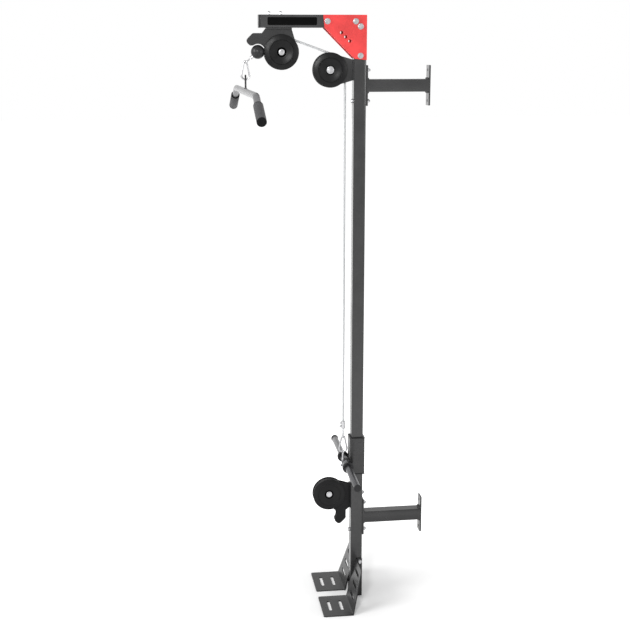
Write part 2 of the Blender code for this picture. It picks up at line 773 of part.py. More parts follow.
def build_pulley(name, axis):
    half = PULLEY_WIDTH / 2
    floor_r = GROOVE_LINE_R - CABLE_R - GAP
    bore = BEARING_R + GAP
    profile = [(bore, -half), (PULLEY_R, -half), (PULLEY_R, -GROOVE_MOUTH / 2),
               (floor_r, -GROOVE_FLAT / 2), (floor_r, GROOVE_FLAT / 2),
               (PULLEY_R, GROOVE_MOUTH / 2), (PULLEY_R, half), (bore, half)]
    item = add_object(name, turned(profile, (0, *axis), (1, 0, 0), 28), pulley_nylon(), (0, *axis))
    shade_round(item)
    return item


def build_bearing(name, axis):
    half = PLATE_IN - GAP
    inner = AXLE_R + GAP
    profile = [(inner, -half), (BEARING_R, -PULLEY_WIDTH / 2), (BEARING_R, PULLEY_WIDTH / 2),
               (inner, half)]
    item = add_object(name, turned(profile, (0, *axis), (1, 0, 0), 18), zinc(), (0, *axis))
    shade_round(item)
    return item


def build_pulley_set(label, axis):
    """One bracketed pulley: two covers, the axle, and the wheel with its bearing on a pivot."""
    build_cover(f"{label}_pulley_cover_right", axis, 1)
    build_cover(f"{label}_pulley_cover_left", axis, -1)
    build_axle(f"{label}_pulley_axle", axis, AXLE_HEAD_R[label])
    wheel = build_pulley(f"{label}_pulley", axis)
    bearing = build_bearing(f"{label}_pulley_bearing", axis)
    pivot(f"{label}_pulley_spin", (0, *axis))
    carry(f"{label}_pulley_spin", [wheel, bearing])


def build_foot(name, side):
    """Floor flange, leaning face and side web, folded from one plate and welded up."""
    web_in = HALF + GAP
    web_out = web_in + FOOT_WEB

    def levels(low, high):
        return sorted((side * low, side * high))

    def lean(z):
        return -FOOT_BEND + FOOT_LEAN * z

    def taper(z):
        return FOOT_OUTER - (FOOT_OUTER - FOOT_TOP_OUTER) * z / FOOT_HEIGHT

    top = FOOT_HEIGHT
    web = [(lean(0), 0), (lean(top), top), (HALF, top), (HALF, 0)]
    foot = add_object(name, extrusion(web, "X", *levels(web_in, web_out)), frame_paint())
    bite = FOOT_WEB / 2
    flange = [(side * (web_out - bite), -FOOT_BEND + FOOT_THICK),
              (side * (web_out - bite), -FOOT_FRONT)]
    flange += [(side * a, b) for a, b in
               arc((FOOT_OUTER - FOOT_CORNER_R, -FOOT_FRONT + FOOT_CORNER_R), FOOT_CORNER_R,
                   -90, 0, 3)]
    flange.append((side * FOOT_OUTER, -FOOT_BEND + FOOT_THICK))
    parts = [extrusion(flange, "Z", 0, FOOT_THICK)]
    face = bmesh.new()
    loops = []
    for shift in (0, FOOT_THICK):
        corner = top - FOOT_CORNER_R
        spots = [(web_out - bite, 0), (FOOT_OUTER, 0), (taper(corner), corner),
                 (taper(top) - FOOT_CORNER_R, top), (web_out - bite, top)]
        loops.append([face.verts.new((side * x, lean(z) + shift, z)) for x, z in spots])
    face.faces.new(loops[0])
    face.faces.new(loops[1])
    for i in range(len(loops[0])):
        j = (i + 1) % len(loops[0])
        face.faces.new((loops[0][i], loops[0][j], loops[1][j], loops[1][i]))
    parts.append(face)
    apply_boolean(foot, [add_object("fold", p, frame_paint()) for p in parts], "UNION")
    slots = []
    half_width = FOOT_SLOT_WIDTH / 2
    for y in FOOT_SLOTS_Y:
        outline = slot(FOOT_SLOT_LENGTH / 2, half_width, (side * FOOT_SLOT_X, -y))
        slots.append(extrusion(outline, "Z", -PAST, FOOT_THICK + PAST))
    for z in FOOT_SLOTS_Z:
        middle = side * (web_out + taper(z)) / 2
        outline = slot(FOOT_FACE_SLOT_LENGTH / 2, half_width, (middle, z))
        slots.append(extrusion(outline, "Y", lean(z) - PAST, lean(z) + PAST))
    apply_boolean(foot, [add_object("slot", s, frame_paint()) for s in slots], "DIFFERENCE")
    reach = web_out + PAST
    return drill(foot, [across_x(FOOT_BOLT_Y, FOOT_BOLT_Z, bolt_hole_r(FRAME_BOLT), reach)])


def build_foot_bolt():
    seat = HALF + GAP + FOOT_WEB + GAP
    bolt("foot_bolt", (seat, FOOT_BOLT_Y, FOOT_BOLT_Z), (-1, 0, 0), 2 * seat, FRAME_BOLT)


def wrapped(centre, radius, start, end, steps):
    """Corners of a run round a pulley, whose straight pieces touch the circle."""
    half = (end - start) / steps / 2
    return arc(centre, radius / math.cos(math.radians(half)), start + half, end - half, steps - 1)


def cable(name, points):
    """A taut cable as a bevelled curve with filled ends."""
    curve = bpy.data.curves.new(name, "CURVE")
    curve.dimensions = "3D"
    curve.bevel_depth = CABLE_R
    curve.bevel_resolution = 2
    curve.use_fill_caps = True
    spline = curve.splines.new("POLY")
    spline.points.add(len(points) - 1)
    for spot, point in zip(spline.points, points):
        spot.co = (*point, 1)
    item = bpy.data.objects.new(name, curve)
    bpy.context.scene.collection.objects.link(item)
    curve.materials.append(cable_coat())
    return item


def build_cables():
    """One run from the ball over both upper pulleys, and the drop down to the carriage."""
    run = math.atan2(REAR_AXIS[1] - FRONT_AXIS[1], REAR_AXIS[0] - FRONT_AXIS[0])
    square = math.degrees(run) + 90
    leaving = math.degrees(math.atan2(EXIT_SIDE.z, EXIT_SIDE.y))
    ends_at = BALL - (BALL_R + GAP) * EXIT
    route = [(ends_at.y, ends_at.z)]
    route += wrapped(FRONT_AXIS, GROOVE_LINE_R, leaving, square, 7)
    route += wrapped(REAR_AXIS, GROOVE_LINE_R, square, 0, 8)
    route.append((CABLE_Y, REAR_AXIS[1]))
    cable("cable_over_pulleys", [(0, y, z) for y, z in route])
    low = CLIP_LOW + CLIP_HEIGHT + GAP
    cable("cable_rear_drop", [(0, CABLE_Y, REAR_AXIS[1] - GAP), (0, CABLE_Y, low)])


def build_ball():
    edge = math.degrees(math.asin((CABLE_R + GAP) / BALL_R))
    profile = [(b, a) for a, b in arc((0, 0), BALL_R, edge, 180 - edge, 11)]
    ball = add_object("stop_ball", turned(profile, BALL, EXIT, 22), ball_rubber(), BALL)
    shade_round(ball)
    return ball


def build_cable_end():
    """The cable through the ball, a ferrule, a shank and the eye ring, as swaged together."""
    shank = BALL_R + FERRULE
    ring_middle = LINK_RUN - EYE_RING_R
    profile = [(0, -BALL_R), (CABLE_R, -BALL_R), (CABLE_R, BALL_R), (FERRULE_R, BALL_R),
               (FERRULE_R, shank - FERRULE_EDGE), (FERRULE_R - FERRULE_EDGE, shank), (SHANK_R, shank),
               (SHANK_R, ring_middle - EYE_RING_R), (0, ring_middle - EYE_RING_R)]
    item = add_object("cable_front_end", turned(profile, BALL, EXIT, 12, closed=False), zinc(), BALL)
    ring_axis = EXIT.cross(Vector((1, 0, 0))).normalized()
    sides = 8
    circle = [(EYE_RING_R + CORE_R * math.cos(2 * math.pi * i / sides),
               CORE_R * math.sin(2 * math.pi * i / sides)) for i in range(sides)]
    ring = turned(circle, BALL + ring_middle * EXIT, ring_axis, 24)
    apply_boolean(item, [add_object("ring", ring, zinc())], "UNION")
    shade_round(item)
    return item


def hook_frame():
    """Angles and straight-side ends of a snap hook, about its small end's centre."""
    spread = HOOK_LENGTH - 2 * HOOK_WIRE_R - HOOK_SMALL_R - HOOK_LARGE_R
    tilt = math.asin((HOOK_LARGE_R - HOOK_SMALL_R) / spread)
    small = Vector((math.cos(tilt), math.sin(tilt))) * HOOK_SMALL_R
    large = Vector((math.cos(tilt), math.sin(tilt))) * HOOK_LARGE_R - Vector((0, spread))
    return spread, math.degrees(tilt), small, large


def gate_ends():
    """The gate's pivot and its free end, and the wire's nose and foot that it meets."""
    _, _, small, large = hook_frame()
    way = (small - large).normalized()
    nose = small - way * GATE_NOSE
    foot = large + way * GATE_FOOT
    hinge = foot + way * (GATE_R + GATE_ROOM)
    return nose, foot, hinge, nose - way * GATE_ROOM


def build_hook(name, top, parent_pivot):
    """A pear-shaped snap hook in the Y-Z plane, its small end up, and its gate on a pivot."""
    spread, tilt, _, _ = hook_frame()
    nose, foot, hinge, tip = gate_ends()
    path = [tuple(nose)] + arc((0, 0), HOOK_SMALL_R, tilt, 180 - tilt, 6)
    path += arc((0, -spread), HOOK_LARGE_R, 180 - tilt, 360 + tilt, 10) + [tuple(foot)]
    body = swept([(0, top[1] + a, top[2] + b) for a, b in path], (1, 0, 0), HOOK_WIRE_R)
    hook = add_object(name, body, zinc(), top)
    shade_round(hook)
    place_of = Vector((0, top[1] + hinge.x, top[2] + hinge.y))
    reach = tip - hinge
    rounds = [(GATE_R * math.cos(math.radians(a)), GATE_R * math.sin(math.radians(a)))
              for a in (-60, -30, 0)]
    profile = [(0, -GATE_R)] + rounds + [(GATE_R, reach.length), (0, reach.length)]
    way = Vector((0, reach.x, reach.y)).normalized()
    body = turned(profile, place_of, way, 12, closed=False)
    gate = add_object(f"{name}_gate", body, zinc(), place_of)
    shade_round(gate)
    pivot(f"{name}_gate_turn", place_of, parent_pivot)
    carry(f"{name}_gate_turn", [gate])
    return hook


def build_carriage():
    """The sleeve and its liner, the weight horn with its collars and caps, and the cable clip."""
    low, high = SLEEVE_LOW, SLEEVE_LOW + SLEEVE_LENGTH
    bore_half = SLEEVE_HALF - SLEEVE_WALL
    sleeve = add_object("carriage_sleeve", extrusion(
        rounded(SLEEVE_HALF, SLEEVE_HALF, TUBE_CORNER_R), "Z", low, high), frame_paint())
    bore = extrusion(rounded(bore_half, bore_half, TUBE_CORNER_R), "Z", low - PAST, high + PAST)
    apply_boolean(sleeve, [add_object("bore", bore, frame_paint())], "DIFFERENCE")

    outer = bore_half - GAP
    rim = SLEEVE_HALF + LINER_RIM_OUT
    slide = HALF + SLIDE_CLEARANCE
    liner = add_object("slide_liner", extrusion(
        rounded(outer, outer, TUBE_CORNER_R), "Z", low - GAP - LINER_RIM / 2,
        high + GAP + LINER_RIM / 2), black_plastic())
    rims = [extrusion(rounded(rim, rim, TUBE_CORNER_R), "Z", a, a + LINER_RIM)
            for a in (low - GAP - LINER_RIM, high + GAP)]
    apply_boolean(liner, [add_object("rim", r, black_plastic()) for r in rims], "UNION")
    bore = extrusion(rounded(slide, slide, TUBE_CORNER_R), "Z", low - PAST, high + PAST)
    apply_boolean(liner, [add_object("bore", bore, black_plastic())], "DIFFERENCE")

    horn = build_horn()
    caps = [build_horn_cap("horn_cap_right", 1), build_horn_cap("horn_cap_left", -1)]
    collars = [build_collar("horn_collar_right", 1), build_collar("horn_collar_left", -1)]
    clip = build_clip()
    loop = build_loop()
    pivot("carriage_slide", (0, 0, SLEEVE_LOW))
    top = (0, CABLE_Y, REAR_LINK_Z - LINK_SAG)
    hook = build_hook("lower_snap_hook", top, "carriage_slide")
    carry("carriage_slide", [sleeve, liner, horn, *caps, *collars, clip, loop, hook])


def build_horn():
    """The weight bar, with the lug that the snap hook pulls on welded to it."""
    horn = add_object("weight_horn", rod((-HORN_HALF, HORN_Y, HORN_Z), (HORN_HALF, HORN_Y, HORN_Z),
                                         HORN_R, 20), bar_chrome())
    eye_z = CARRIAGE_HOOK_Z - EYE_SAG
    half = HORN_LUG_HALF
    tail = HORN_Z - HORN_LUG_TAIL
    outline = [(-half, tail), (half, tail)]
    outline += arc((0, eye_z + HORN_LUG_TOP - half), half, 0, 180, 8)
    low, high = CABLE_Y - HORN_LUG_THICK / 2, CABLE_Y + HORN_LUG_THICK / 2
    lug = extrusion(outline, "Y", low, high)
    curl = box((-LUG_CURL_HALF, low - LUG_CURL_REACH, tail + LUG_CURL_RISE),
               (LUG_CURL_HALF, CABLE_Y, tail + HORN_LUG_THICK))
    saddle = box((-LUG_SADDLE_HALF, CABLE_Y, HORN_Z - LUG_SADDLE_RISE),
                 (LUG_SADDLE_HALF, HORN_Y, HORN_Z + LUG_SADDLE_RISE))
    parts = [add_object("lug", p, zinc()) for p in (lug, curl, saddle)]
    apply_boolean(horn, parts, "UNION")
    drill(horn, [along_y(0, eye_z, EYE_HOLE_R, low - PAST, high + PAST)], 16)
    shade_round(horn)
    return horn


def build_horn_cap(name, side):
    inner, outer = HORN_R + GAP, HORN_R + GAP + HORN_CAP_WALL
    end = HORN_HALF + GAP
    far = end + HORN_CAP_END
    profile = [(0, end), (inner, end), (inner, end - HORN_CAP_LENGTH), (outer, end - HORN_CAP_LENGTH),
               (outer, far - HORN_CAP_EDGE), (outer - HORN_CAP_EDGE, far), (0, far)]
    body = turned(profile, (0, HORN_Y, HORN_Z), (side, 0, 0), 20, closed=False)
    cap = add_object(name, body, black_plastic())
    shade_round(cap)
    return cap


def build_collar(name, side):
    inner, half = HORN_R + GAP, COLLAR_WIDTH / 2
    profile = [(inner, -half), (COLLAR_R - COLLAR_EDGE, -half), (COLLAR_R, -half + COLLAR_EDGE),
               (COLLAR_R, half - COLLAR_EDGE), (COLLAR_R - COLLAR_EDGE, half), (inner, half)]
    body = turned(profile, (side * COLLAR_X, HORN_Y, HORN_Z), (1, 0, 0), 24)
    collar = add_object(name, body, black_plastic())
    shade_round(collar)
    return collar


def build_clip():
    """A double cable clip: a pressed body with two nuts on its front."""
    high = CLIP_LOW + CLIP_HEIGHT
    outline = rounded(CLIP_HALF_X, CLIP_HALF_Y, CLIP_CORNER_R, 3, (0, CABLE_Y))
    clip = add_object("cable_clip", extrusion(outline, "Z", CLIP_LOW, high), zinc())
    middle = (CLIP_LOW + high) / 2
    nuts = []
    for up in (1, -1):
        z = middle + up * CLIP_NUT_SPREAD
        front = CLIP_HALF_Y + CLIP_NUT
        profile = [(0, CLIP_HALF_Y / 2), (CLIP_NUT_R, CLIP_HALF_Y / 2), (CLIP_NUT_R, front),
                   (CLIP_STUD_R, front), (CLIP_STUD_R, front + CLIP_STUD), (0, front + CLIP_STUD)]
        nuts.append(turned(profile, (0, CABLE_Y, z), (0, -1, 0), 12, closed=False, hexes=(1, 2)))
    apply_boolean(clip, [add_object("nut", n, zinc()) for n in nuts], "UNION")
    shade_round(clip)
    return clip


def build_loop():
    """The bare core's loop below the clip, in the X-Z plane, through the hook's small end."""
    top = CLIP_LOW - GAP
    neck = CORE_R + GAP
    rounds = arc((0, REAR_LINK_Z + LOOP_HALF), LOOP_HALF, -180, 0, 10)
    bulge = (-(LOOP_HALF - LOOP_BULGE_IN), REAR_LINK_Z + LOOP_HALF + LOOP_BULGE_RISE)
    left = [(-neck, top), (-neck, top - 2 * CORE_R), bulge]
    path = left + rounds + [(-x, z) for x, z in reversed(left)]
    loop = add_object("cable_rear_loop", swept([(x, CABLE_Y, z) for x, z in path], (0, 1, 0), CORE_R),
                      cable_core())
    shade_round(loop)
    return loop


def bar_corner():
    """Where the pull bar's bend starts and ends, and the direction of its bent end."""
    slope = math.radians(BAR_SLOPE)
    run = BAR_BEND_R * math.tan(slope / 2)
    start = Vector((BAR_STRAIGHT - run, 0, BAR_Z))
    way = Vector((math.cos(slope), 0, -math.sin(slope)))
    finish = Vector((BAR_STRAIGHT, 0, BAR_Z)) + run * way
    end = Vector((BAR_STRAIGHT, 0, BAR_Z)) + BAR_BENT * way
    return start, finish, end, way


def build_pull_bar(y):
    """A bent tube with a lug welded on its middle."""
    start, _, end, _ = bar_corner()
    bend = arc((start.x, BAR_Z - BAR_BEND_R), BAR_BEND_R, 90, 90 - BAR_SLOPE, 5)
    right = [(x, y, z) for x, z in bend] + [(end.x, y, end.z)]
    path = [(-x, b, z) for x, b, z in reversed(right)] + right
    tube = swept(path, (0, 1, 0), BAR_R, 16, BAR_R - BAR_WALL)
    bar = add_object("pull_bar", tube, bar_chrome(), (0, y, FRONT_HOOK_Z))
    eye_z = FRONT_HOOK_Z - EYE_SAG
    half = BAR_LUG_HALF
    foot = BAR_Z + BAR_R - BAR_WALL / 2
    neck = foot + BAR_LUG_FLARE_RISE
    outline = [(-half - BAR_LUG_FLARE, foot), (half + BAR_LUG_FLARE, foot), (half, neck)]
    outline += arc((0, FRONT_HOOK_Z + BAR_LUG_TOP - half), half, 0, 180, 8)
    outline.append((-half, neck))
    lug = extrusion(outline, "Y", y - BAR_LUG_THICK / 2, y + BAR_LUG_THICK / 2)
    apply_boolean(bar, [add_object("lug", lug, bar_chrome())], "UNION")
    hole = along_y(0, eye_z, EYE_HOLE_R, y - PAST, y + PAST)
    drill(bar, [hole], 16)
    shade_round(bar)
    return bar


def turn_bar(pieces):
    """Turn the bar and its grips a little about the upright line that they hang on."""
    for piece in pieces:
        piece.data.transform(Matrix.Rotation(math.radians(BAR_TURN), 4, "Z"))
    return pieces


def build_grip(name, y, side):
    """A rubber grip with a closed end, pushed over the bar's bent end."""
    _, _, end, way = bar_corner()
    inner = BAR_R + GAP
    start = GRIP_END - GRIP_LENGTH
    profile = [(0, GAP), (inner, GAP), (inner, start), (GRIP_R - GRIP_EDGE, start),
               (GRIP_R, start + GRIP_EDGE), (GRIP_R, GRIP_END - GRIP_EDGE),
               (GRIP_R - GRIP_EDGE, GRIP_END), (0, GRIP_END)]
    body = turned(profile, (side * end.x, y, end.z), (side * way.x, 0, way.z), 24, closed=False)
    grip = add_object(name, body, grip_rubber(), (0, y, FRONT_HOOK_Z))
    shade_round(grip)
    return grip


def build_handle():
    """What the cable carries in front: ball, cable end, snap hook and pull bar."""
    y = FRONT_LINK.y
    pivot("bar_pull", BALL)
    carry("bar_pull", [build_ball(), build_cable_end()])
    pivot("front_hook_swing", FRONT_LINK, "bar_pull")
    top = (0, y, FRONT_LINK.z - LINK_SAG)
    hook = build_hook("front_snap_hook", top, "front_hook_swing")
    carry("front_hook_swing", [hook])
    pivot("pull_bar_rock", (0, y, FRONT_HOOK_Z), "front_hook_swing")
    carry("pull_bar_rock", turn_bar([build_pull_bar(y), build_grip("grip_right", y, 1),
                                     build_grip("grip_left", y, -1)]))


def build_frame():
    build_post()
    build_beam()
    tube_cap("post_foot_cap", (0, 0, 0), "Z")
    tube_cap("beam_end_cap", (0, -BEAM_REACH, HEIGHT - HALF), "Y")
    build_gusset("gusset_right", 1)
    build_gusset("gusset_left", -1)
    build_gusset_bolts()
    build_arm("upper_wall_arm", UPPER_ARM_Z)
    build_arm("lower_wall_arm", LOWER_ARM_Z)
    build_arm_bolts()
    build_bracket("front_pulley_bracket", FRONT_AXIS, True, True)
    build_bracket("rear_pulley_bracket", REAR_AXIS, False, False)
    build_bracket("lower_pulley_bracket", LOWER_AXIS, True, False)
    build_bracket_bolts()
    build_foot("foot_plate_right", 1)
    build_foot("foot_plate_left", -1)
    build_foot_bolt()


def main():
    clear_scene()
    build_frame()
    for label, axis in (("front", FRONT_AXIS), ("rear", REAR_AXIS), ("lower", LOWER_AXIS)):
        build_pulley_set(label, axis)
    build_cables()
    build_carriage()
    build_handle()


main()
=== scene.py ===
"""Looks for the wall-mounted cable machine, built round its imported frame.

Metres, in the frame's own axes: +Z up, the wall towards +Y, the bars along X.
"""
import json
import math

import bmesh
import bpy
from mathutils import Matrix, Vector


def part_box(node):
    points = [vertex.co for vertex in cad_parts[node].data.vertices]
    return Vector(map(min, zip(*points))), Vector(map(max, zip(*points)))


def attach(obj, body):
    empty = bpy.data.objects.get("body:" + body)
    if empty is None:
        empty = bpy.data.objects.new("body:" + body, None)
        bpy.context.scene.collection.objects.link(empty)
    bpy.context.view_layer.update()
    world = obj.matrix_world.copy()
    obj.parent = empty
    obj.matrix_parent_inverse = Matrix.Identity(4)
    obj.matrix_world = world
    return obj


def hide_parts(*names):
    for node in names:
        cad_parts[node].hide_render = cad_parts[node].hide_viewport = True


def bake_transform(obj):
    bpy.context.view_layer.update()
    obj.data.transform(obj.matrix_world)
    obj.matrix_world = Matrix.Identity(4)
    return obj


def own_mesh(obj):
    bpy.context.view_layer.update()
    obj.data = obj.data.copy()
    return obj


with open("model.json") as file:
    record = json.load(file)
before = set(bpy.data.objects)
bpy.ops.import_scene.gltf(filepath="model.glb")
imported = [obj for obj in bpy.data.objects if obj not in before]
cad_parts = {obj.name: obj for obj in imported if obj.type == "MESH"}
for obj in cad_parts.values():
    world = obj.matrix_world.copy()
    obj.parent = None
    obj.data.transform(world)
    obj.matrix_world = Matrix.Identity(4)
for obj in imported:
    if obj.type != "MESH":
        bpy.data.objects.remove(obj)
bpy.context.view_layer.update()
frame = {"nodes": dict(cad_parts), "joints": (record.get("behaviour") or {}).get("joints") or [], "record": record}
NODES = frame["nodes"]
JOINTS = {joint["name"]: joint for joint in frame["joints"]}
BODY_OF = {node: body for body, nodes in frame["record"]["behaviour"]["bodies"].items()
           for node in nodes}

X, Y, Z = Vector((1, 0, 0)), Vector((0, 1, 0)), Vector((0, 0, 1))
SIDES = (("right", 1), ("left", -1))
ENDS = (("top", 1), ("bottom", -1))
PULL_WAY = Vector(JOINTS["bar_pull"]["axis"])

# Radii of the cable over its coat and of its bare core
CABLE_R = 0.004
CORE_R = 0.0022

# Edges of flat-sided pieces, and the angles in degrees under which faces run smooth
EDGE = 0.0007
SMOOTH = 35
WIRE_SMOOTH = 50


# Shader nodes

SPECKLE = 1.2
RAMP_ENDS = (0.3, 0.7)


def add_node(tree, kind, *ordered, **named):
    """A node with inputs in order and by name: constants, or other nodes' outputs to link."""
    node = tree.nodes.new(f"ShaderNode{kind}")
    inputs = list(zip(node.inputs, ordered))
    for key, value in named.items():
        socket = key.replace("_", " ")
        if socket in node.inputs:
            inputs.append((node.inputs[socket], value))
        else:
            setattr(node, key, value)
    for socket, value in inputs:
        if isinstance(value, bpy.types.NodeSocket):
            tree.links.new(value, socket)
        else:
            socket.default_value = value
    return node


def new_material(name, color, roughness, metallic=0, **sockets):
    """A Principled material with constant sockets, and its node tree."""
    made = bpy.data.materials.new(name)
    made.use_nodes = True
    sockets.update(Base_Color=(*color, 1), Roughness=roughness, Metallic=metallic)
    for socket, value in sockets.items():
        principled(made.node_tree, socket.replace("_", " ")).default_value = value
    return made, made.node_tree


def principled(tree, socket):
    return tree.nodes["Principled BSDF"].inputs[socket]


def texture(tree, kind, on="Object", stretch=(1, 1, 1), **settings):
    """A procedural texture's factor, on object or UV coordinates stretched along the axes."""
    source = add_node(tree, "TexCoord").outputs[on]
    mapped = add_node(tree, "Mapping", Scale=stretch, Vector=source).outputs["Vector"]
    return add_node(tree, f"Tex{kind}", Vector=mapped, **settings).outputs["Fac"]


def noise(tree, scale, detail, **settings):
    return texture(tree, "Noise", Scale=scale, Detail=detail, **settings)


def bands(tree, scale, direction, **settings):
    return texture(tree, "Wave", Scale=scale, wave_type="BANDS", bands_direction=direction,
                   **settings)


def add_bump(tree, height, strength, distance):
    """A bump on top of those that the material has."""
    bump = add_node(tree, "Bump", Strength=strength, Distance=distance, Height=height)
    normal = principled(tree, "Normal")
    if normal.links:
        tree.links.new(normal.links[0].from_socket, bump.inputs["Normal"])
    tree.links.new(bump.outputs["Normal"], normal)


def vary(tree, socket, factor, colors):
    """Two colours blended by a texture into one of the material's sockets."""
    ramp = add_node(tree, "ValToRGB", Fac=factor)
    for element, position, color in zip(ramp.color_ramp.elements, RAMP_ENDS, colors):
        element.position = position
        element.color = (*color, 1)
    tree.links.new(ramp.outputs["Color"], principled(tree, socket))


def vary_color(tree, factor, darkest, lightest):
    """The colour between two shares of itself."""
    color = principled(tree, "Base Color").default_value[:3]
    vary(tree, "Base Color", factor, [[c * share for c in color]
                                      for share in (darkest, lightest)])


def vary_roughness(tree, factor, less, more):
    """The roughness between two steps from itself."""
    roughness = principled(tree, "Roughness").default_value
    vary(tree, "Roughness", factor, [[roughness + step] * 3 for step in (less, more)])


# Materials: each kind takes a base, which is its name, colour and roughness

def grey(level, blue=0.0005):
    """A grey with a little more blue."""
    return (level, level, level + blue)


def powder_coat(name, color, roughness, gloss, speckled=1):
    """Baked powder paint: a fine orange-peel bump and slightly uneven colour and gloss."""
    made, tree = new_material(name, color, roughness, Specular_IOR_Level=gloss)
    add_bump(tree, noise(tree, 900, 2), strength=0.1, distance=0.0004)
    add_bump(tree, noise(tree, 5200, 1), strength=0.07, distance=0.0001)
    patches = noise(tree, 14, 3)
    speckle = noise(tree, 380, 3, Roughness=0.7)
    amount = SPECKLE * speckled
    blend = add_node(tree, "Math", speckle, amount, patches, operation="MULTIPLY_ADD")
    level = add_node(tree, "Math", blend.outputs[0], amount / 2, operation="SUBTRACT")
    vary_color(tree, level.outputs[0], 0.82, 1.2)
    vary_roughness(tree, patches, -0.03, 0.04)
    return made


def zinc_plate(*base):
    """Bright zinc: clear grey metal with faint clouding and fine scratches."""
    made, tree = new_material(*base, 1.0)
    clouds = noise(tree, 160, 4)
    vary_color(tree, clouds, 0.86, 1.0)
    vary_roughness(tree, clouds, -0.06, 0.08)
    scratches = noise(tree, 700, 2, stretch=(1, 1, 0.12))
    add_bump(tree, scratches, strength=0.08, distance=0.0002)
    return made


def satin_metal(name, color, roughness, along_bar=(0.04, 1, 1)):
    """Drawn or ground bar: fine lines along the bar and a soft sheen."""
    made, tree = new_material(name, color, roughness, 0.85)
    lines = noise(tree, 1500, 3, stretch=along_bar)
    add_bump(tree, lines, strength=0.06, distance=0.0002)
    vary_roughness(tree, lines, -0.05, 0.07)
    vary_color(tree, noise(tree, 30, 2), 0.92, 1.06)
    return made


def moulding(name, color, roughness, grain=2400, strength=0.12, gloss=0.25):
    """Moulded plastic with a fine spark-eroded grain."""
    made, tree = new_material(name, color, roughness, Specular_IOR_Level=gloss)
    add_bump(tree, noise(tree, grain, 2), strength, distance=0.0003)
    patches = noise(tree, 45, 2)
    vary_color(tree, patches, 0.85, 1.2)
    vary_roughness(tree, patches, -0.05, 0.05)
    return made


def knurled_rubber(*base):
    """Grip rubber: a close pattern of small diamonds, worn a little smoother in patches."""
    made, tree = new_material(*base, Specular_IOR_Level=0.3)
    waves = [bands(tree, 1, "DIAGONAL", on="UV", stretch=(around, 26, 1))
             for around in (26, -26)]
    diamonds = add_node(tree, "Math", *waves, operation="MULTIPLY")
    add_bump(tree, diamonds.outputs[0], strength=0.35, distance=0.0005)
    patches = noise(tree, 35, 3)
    vary_color(tree, patches, 0.85, 1.25)
    vary_roughness(tree, patches, -0.10, 0.10)
    return made


def stranded(name, color, roughness, metallic, strength, **sockets):
    """Twisted wires, drawn as slanting bands on a tube's own coordinates, with painted shade in the grooves
    between them.
    """
    made, tree = new_material(name, color, roughness, metallic, **sockets)
    wave = bands(tree, 1, "DIAGONAL", on="UV", stretch=(6, 1, 1))
    add_bump(tree, wave, strength, distance=0.0006)
    # Painted shade: the colour darkens with the bands' low parts, the grooves between the wires
    vary_color(tree, wave, 0.72, 1.0)
    return made


def zinc_thread(*base):
    """Thread ridges across a bolt's own metal."""
    made, tree = new_material(*base, 1.0)
    ridges = bands(tree, 280, "Y", on="UV", stretch=(0, 1, 1))
    add_bump(tree, ridges, strength=1, distance=0.0006)
    return made


def painted_weld(*base):
    """A painted weld: small ripples across the bead."""
    made, tree = new_material(*base)
    ripples = bands(tree, 130, "X", Distortion=4, Detail=2)
    add_bump(tree, ripples, strength=0.7, distance=0.0012)
    vary_roughness(tree, ripples, 0.02, 0.16)
    return made


def label_film(*base):
    """The bare label: smooth black film."""
    made, tree = new_material(*base, Specular_IOR_Level=0.06)
    vary_roughness(tree, noise(tree, 60, 2), -0.04, 0.06)
    return made


WELD = painted_weld("painted_weld", grey(0.022), 0.34)

# Looks: a material and the slot of the part that it fills
FRAME_PAINT = (powder_coat("frame_powder_coat", grey(0.022), 0.22, 0.5), "frame_paint")
# Painted shade: a darker copy of the frame paint for the lower frame parts
LOW_FRAME_PAINTED_SHADE = (powder_coat("low_frame_coat_painted_shade", grey(0.0175), 0.24, 0.42), "frame_paint")
# Painted shade: a darker, less glossy copy of the frame paint for the foot plates
FOOT_PAINTED_SHADE = (powder_coat("foot_coat_painted_shade", grey(0.0125), 0.28, 0.34), "frame_paint")
FRAME_WELD = (WELD, "frame_paint")
BRACKET_PAINT = (powder_coat("bracket_powder_coat", grey(0.017), 0.26, 0.4), "bracket_paint")
# Painted shade: a darker, duller copy of the bracket paint for the lower bracket
LOWER_BRACKET_PAINTED_SHADE = (powder_coat("lower_bracket_coat_painted_shade", grey(0.008), 0.4, 0.12),
                       "bracket_paint")
RED_PAINT = (powder_coat("red_powder_coat", (0.64, 0.046, 0.046), 0.28, 0.4, 0.25), "red_paint")
ZINC = (zinc_plate("zinc_plate", grey(0.46, 0.01), 0.3), "zinc")
THREAD = (zinc_thread("zinc_thread", grey(0.42, 0.01), 0.34), "zinc")
BAR_METAL = (satin_metal("bar_satin_chrome", grey(0.19, 0.005), 0.31), "bar_chrome")
HORN_METAL = (satin_metal("horn_dark_chrome", grey(0.085, 0.005), 0.28), "bar_chrome")
LUG_METAL = (satin_metal("lug_dark_steel", grey(0.012, 0), 0.4, (1, 1, 0.1)), "bar_chrome")
BAR_WELD = (WELD, "bar_chrome")
BLACK_PLASTIC = (moulding("black_moulding", grey(0.01, 0.001), 0.38), "black_plastic")
COVER_PLASTIC = (moulding("cover_moulding", grey(0.003, 0.0003), 0.34, 3200, 0.07, 0.2),
                 "black_plastic")
LABEL_FILM = (label_film("label_film", grey(0.0015, 0), 0.22), "black_plastic")
NYLON = (moulding("pulley_moulding", grey(0.016, 0.001), 0.42), "pulley_nylon")
RUBBER = (moulding("grip_end_rubber", grey(0.004), 0.6, 2400, 0.12, 0.1), "grip_rubber")
GRIP_RUBBER = (knurled_rubber("grip_rubber_knurled", grey(0.048, 0.002), 0.62), "grip_rubber")
BALL_RUBBER = (moulding("ball_rubber", grey(0.016, 0.001), 0.36, 1500, 0.05), "ball_rubber")
